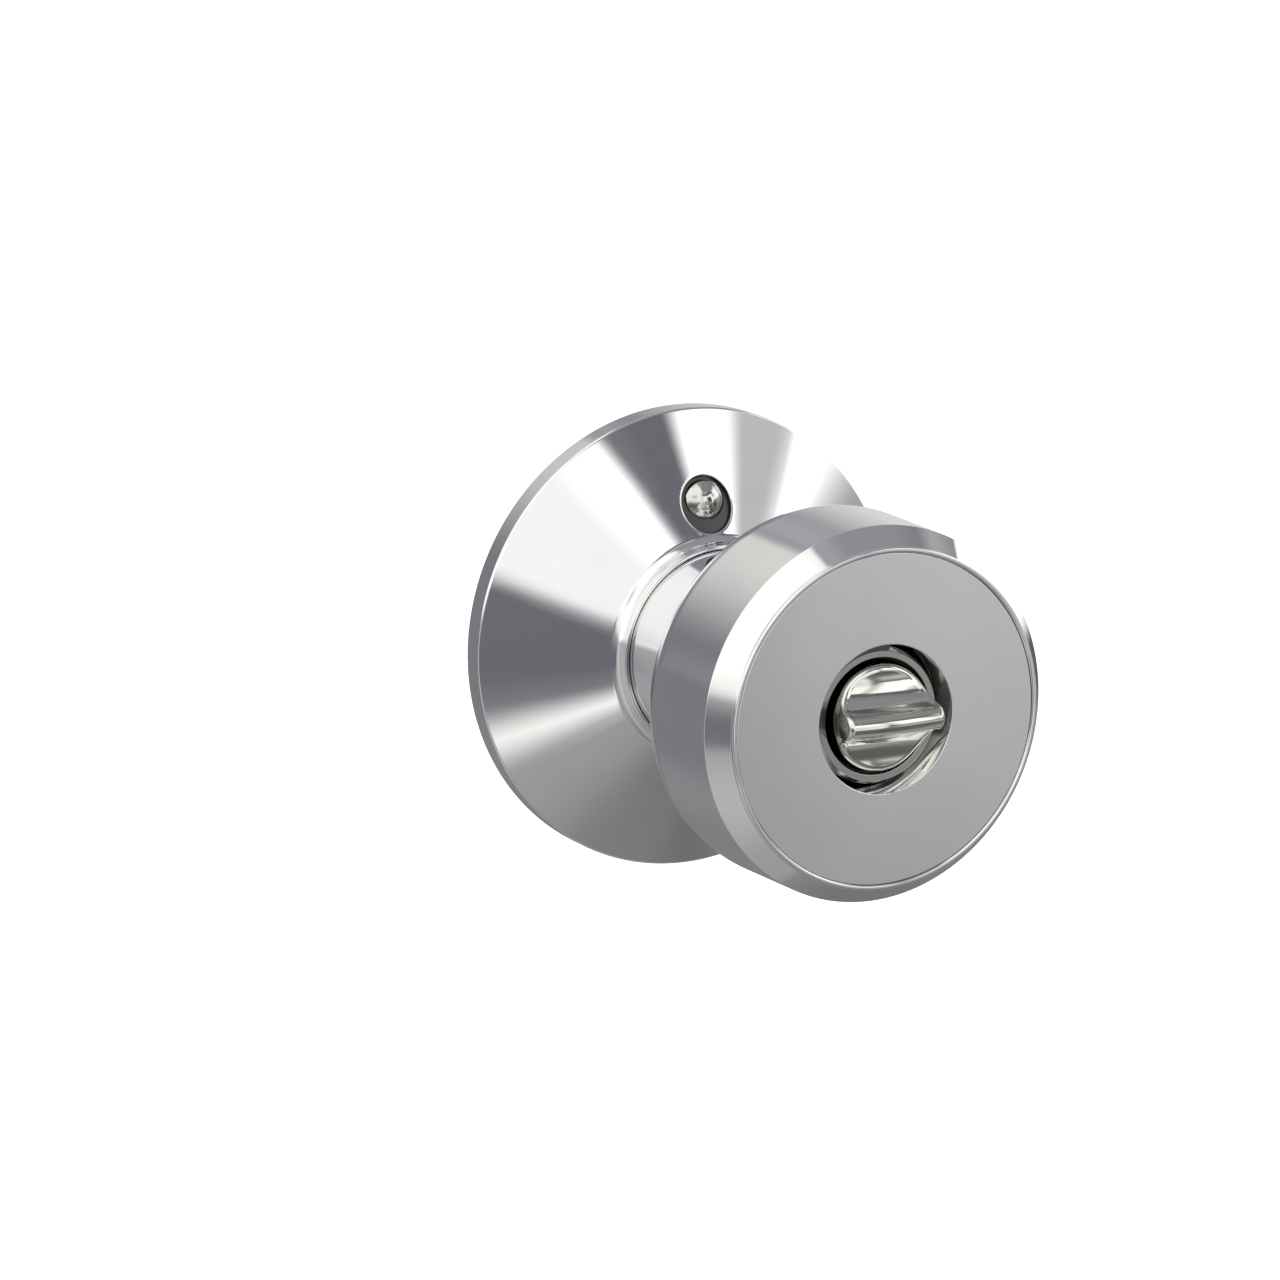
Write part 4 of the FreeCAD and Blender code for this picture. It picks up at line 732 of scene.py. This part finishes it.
# %% Turn button
button_radius, button_top, rim, rim_steps = 7.4, 63.5, 0.9, 10
bar_radius, hollow_middle, hollow_axis, dome_radius = 1.5, 5.65, 62.9, 45
reach = button_radius - rim
bar_axis = button_top - bar_radius
lean = math.atan2(hollow_axis - bar_axis, hollow_middle)
hollow_radius = math.hypot(hollow_middle, hollow_axis - bar_axis) - bar_radius
outer = math.asin((reach - hollow_middle) / hollow_radius)


def swing(mesh, pen, front, z, turn, steps):
    """Swings the pen round a line along the bar."""
    made = bmesh.ops.spin(mesh, geom=[pen], cent=(-mm, -front * mm, z * mm), axis=(1, 0, 0),
                          angle=turn, steps=steps)
    return made["geom_last"][0]


def pull_rim(mesh, edges, radius, back=0.0, level=None):
    """Pulls the rim to another radius, and back by a step or to a level."""
    pulled = bmesh.ops.extrude_edge_only(mesh, edges=edges)["geom"]
    for vertex in [item for item in pulled if isinstance(item, bmesh.types.BMVert)]:
        factor = radius * mm / vertex.co.xz.length
        y = vertex.co.y + back * mm if level is None else -level * mm
        vertex.co = (vertex.co.x * factor, y, vertex.co.z * factor)
    return [item for item in pulled if isinstance(item, bmesh.types.BMEdge)]


button = bmesh.new()
low = hollow_axis - hollow_radius * math.cos(outer)
pen = bmesh.ops.create_vert(button, co=(-mm, -low * mm, -reach * mm))["vert"][0]
pen = swing(button, pen, hollow_axis, -hollow_middle, math.pi / 2 - lean + outer, 48)
pen = swing(button, pen, bar_axis, 0, 2 * lean - math.pi, 40)
pen = swing(button, pen, hollow_axis, hollow_middle, math.pi / 2 - lean + outer, 48)
sheet_steps = 64
bmesh.ops.spin(button, geom=button.verts[:] + button.edges[:], cent=(0, 0, 0), axis=(1, 0, 0), angle=0,
               dvec=(2 * mm / sheet_steps, 0, 0), steps=sheet_steps)
for vertex in button.verts:
    vertex.co.x *= math.sqrt(max(reach ** 2 - (vertex.co.z / mm) ** 2, 0))
    vertex.co.y += vertex.co.x ** 2 / (2 * dome_radius * mm)
bmesh.ops.remove_doubles(button, verts=button.verts, dist=0.001 * mm)
edges = [edge for edge in button.edges if edge.is_boundary]
dropped = 0
for step in range(1, rim_steps + 1):
    angle = math.pi / 2 * step / rim_steps
    drop = rim * (1 - math.cos(angle))
    edges = pull_rim(button, edges, reach + rim * math.sin(angle), drop - dropped)
    dropped = drop
for radius, level in ((button_radius, 56.8), (button_radius, 49.6), (7.2, 49.4), (4.5, 49.4),
                      (4.5, 44.6), (4.3, 44.4)):
    edges = pull_rim(button, edges, radius, level=level)
bmesh.ops.contextual_create(button, geom=edges)
bmesh.ops.recalc_face_normals(button, faces=button.faces)
finish_piece(button, "turn_button_cast", "button_body", "button_chrome", "turn_button")

# %% [markdown]
# ## Leaf spring
# A strip of spring steel inside the spindle pushes the catch out through the neck. One end is
# held, the other lies under the catch, so the strip bends when the catch is pressed. We break
# its edges as a press leaves them and cut it across into short lengths.

# %% Leaf spring
leaf_width, leaf_thickness, leaf_held, leaf_free, leaf_level = 5.2, 0.5, 38, 18, -6.653
bend_start, bend_end, edge_break, leaf_cuts = 36, 22.2, 0.07, 48
leaf_length = leaf_held - leaf_free
leaf = bmesh.new()
bmesh.ops.create_cube(leaf, size=mm)
bmesh.ops.scale(leaf, verts=leaf.verts, vec=(leaf_width, leaf_length, leaf_thickness))
bmesh.ops.translate(leaf, verts=leaf.verts, vec=(0, -(leaf_held + leaf_free) / 2 * mm, leaf_level * mm))
bmesh.ops.bevel(leaf, geom=leaf.edges[:], offset=edge_break * mm, affect="EDGES", segments=2,
                profile=0.5, material=-1)
long_edges = [edge for edge in leaf.edges if edge.calc_length() > 0.75 * leaf_length * mm]
bmesh.ops.subdivide_edges(leaf, edges=long_edges, cuts=leaf_cuts)
spring = finish_piece(leaf, "catch_leaf", None, "spring_steel", "catch_spring")
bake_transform(spring)
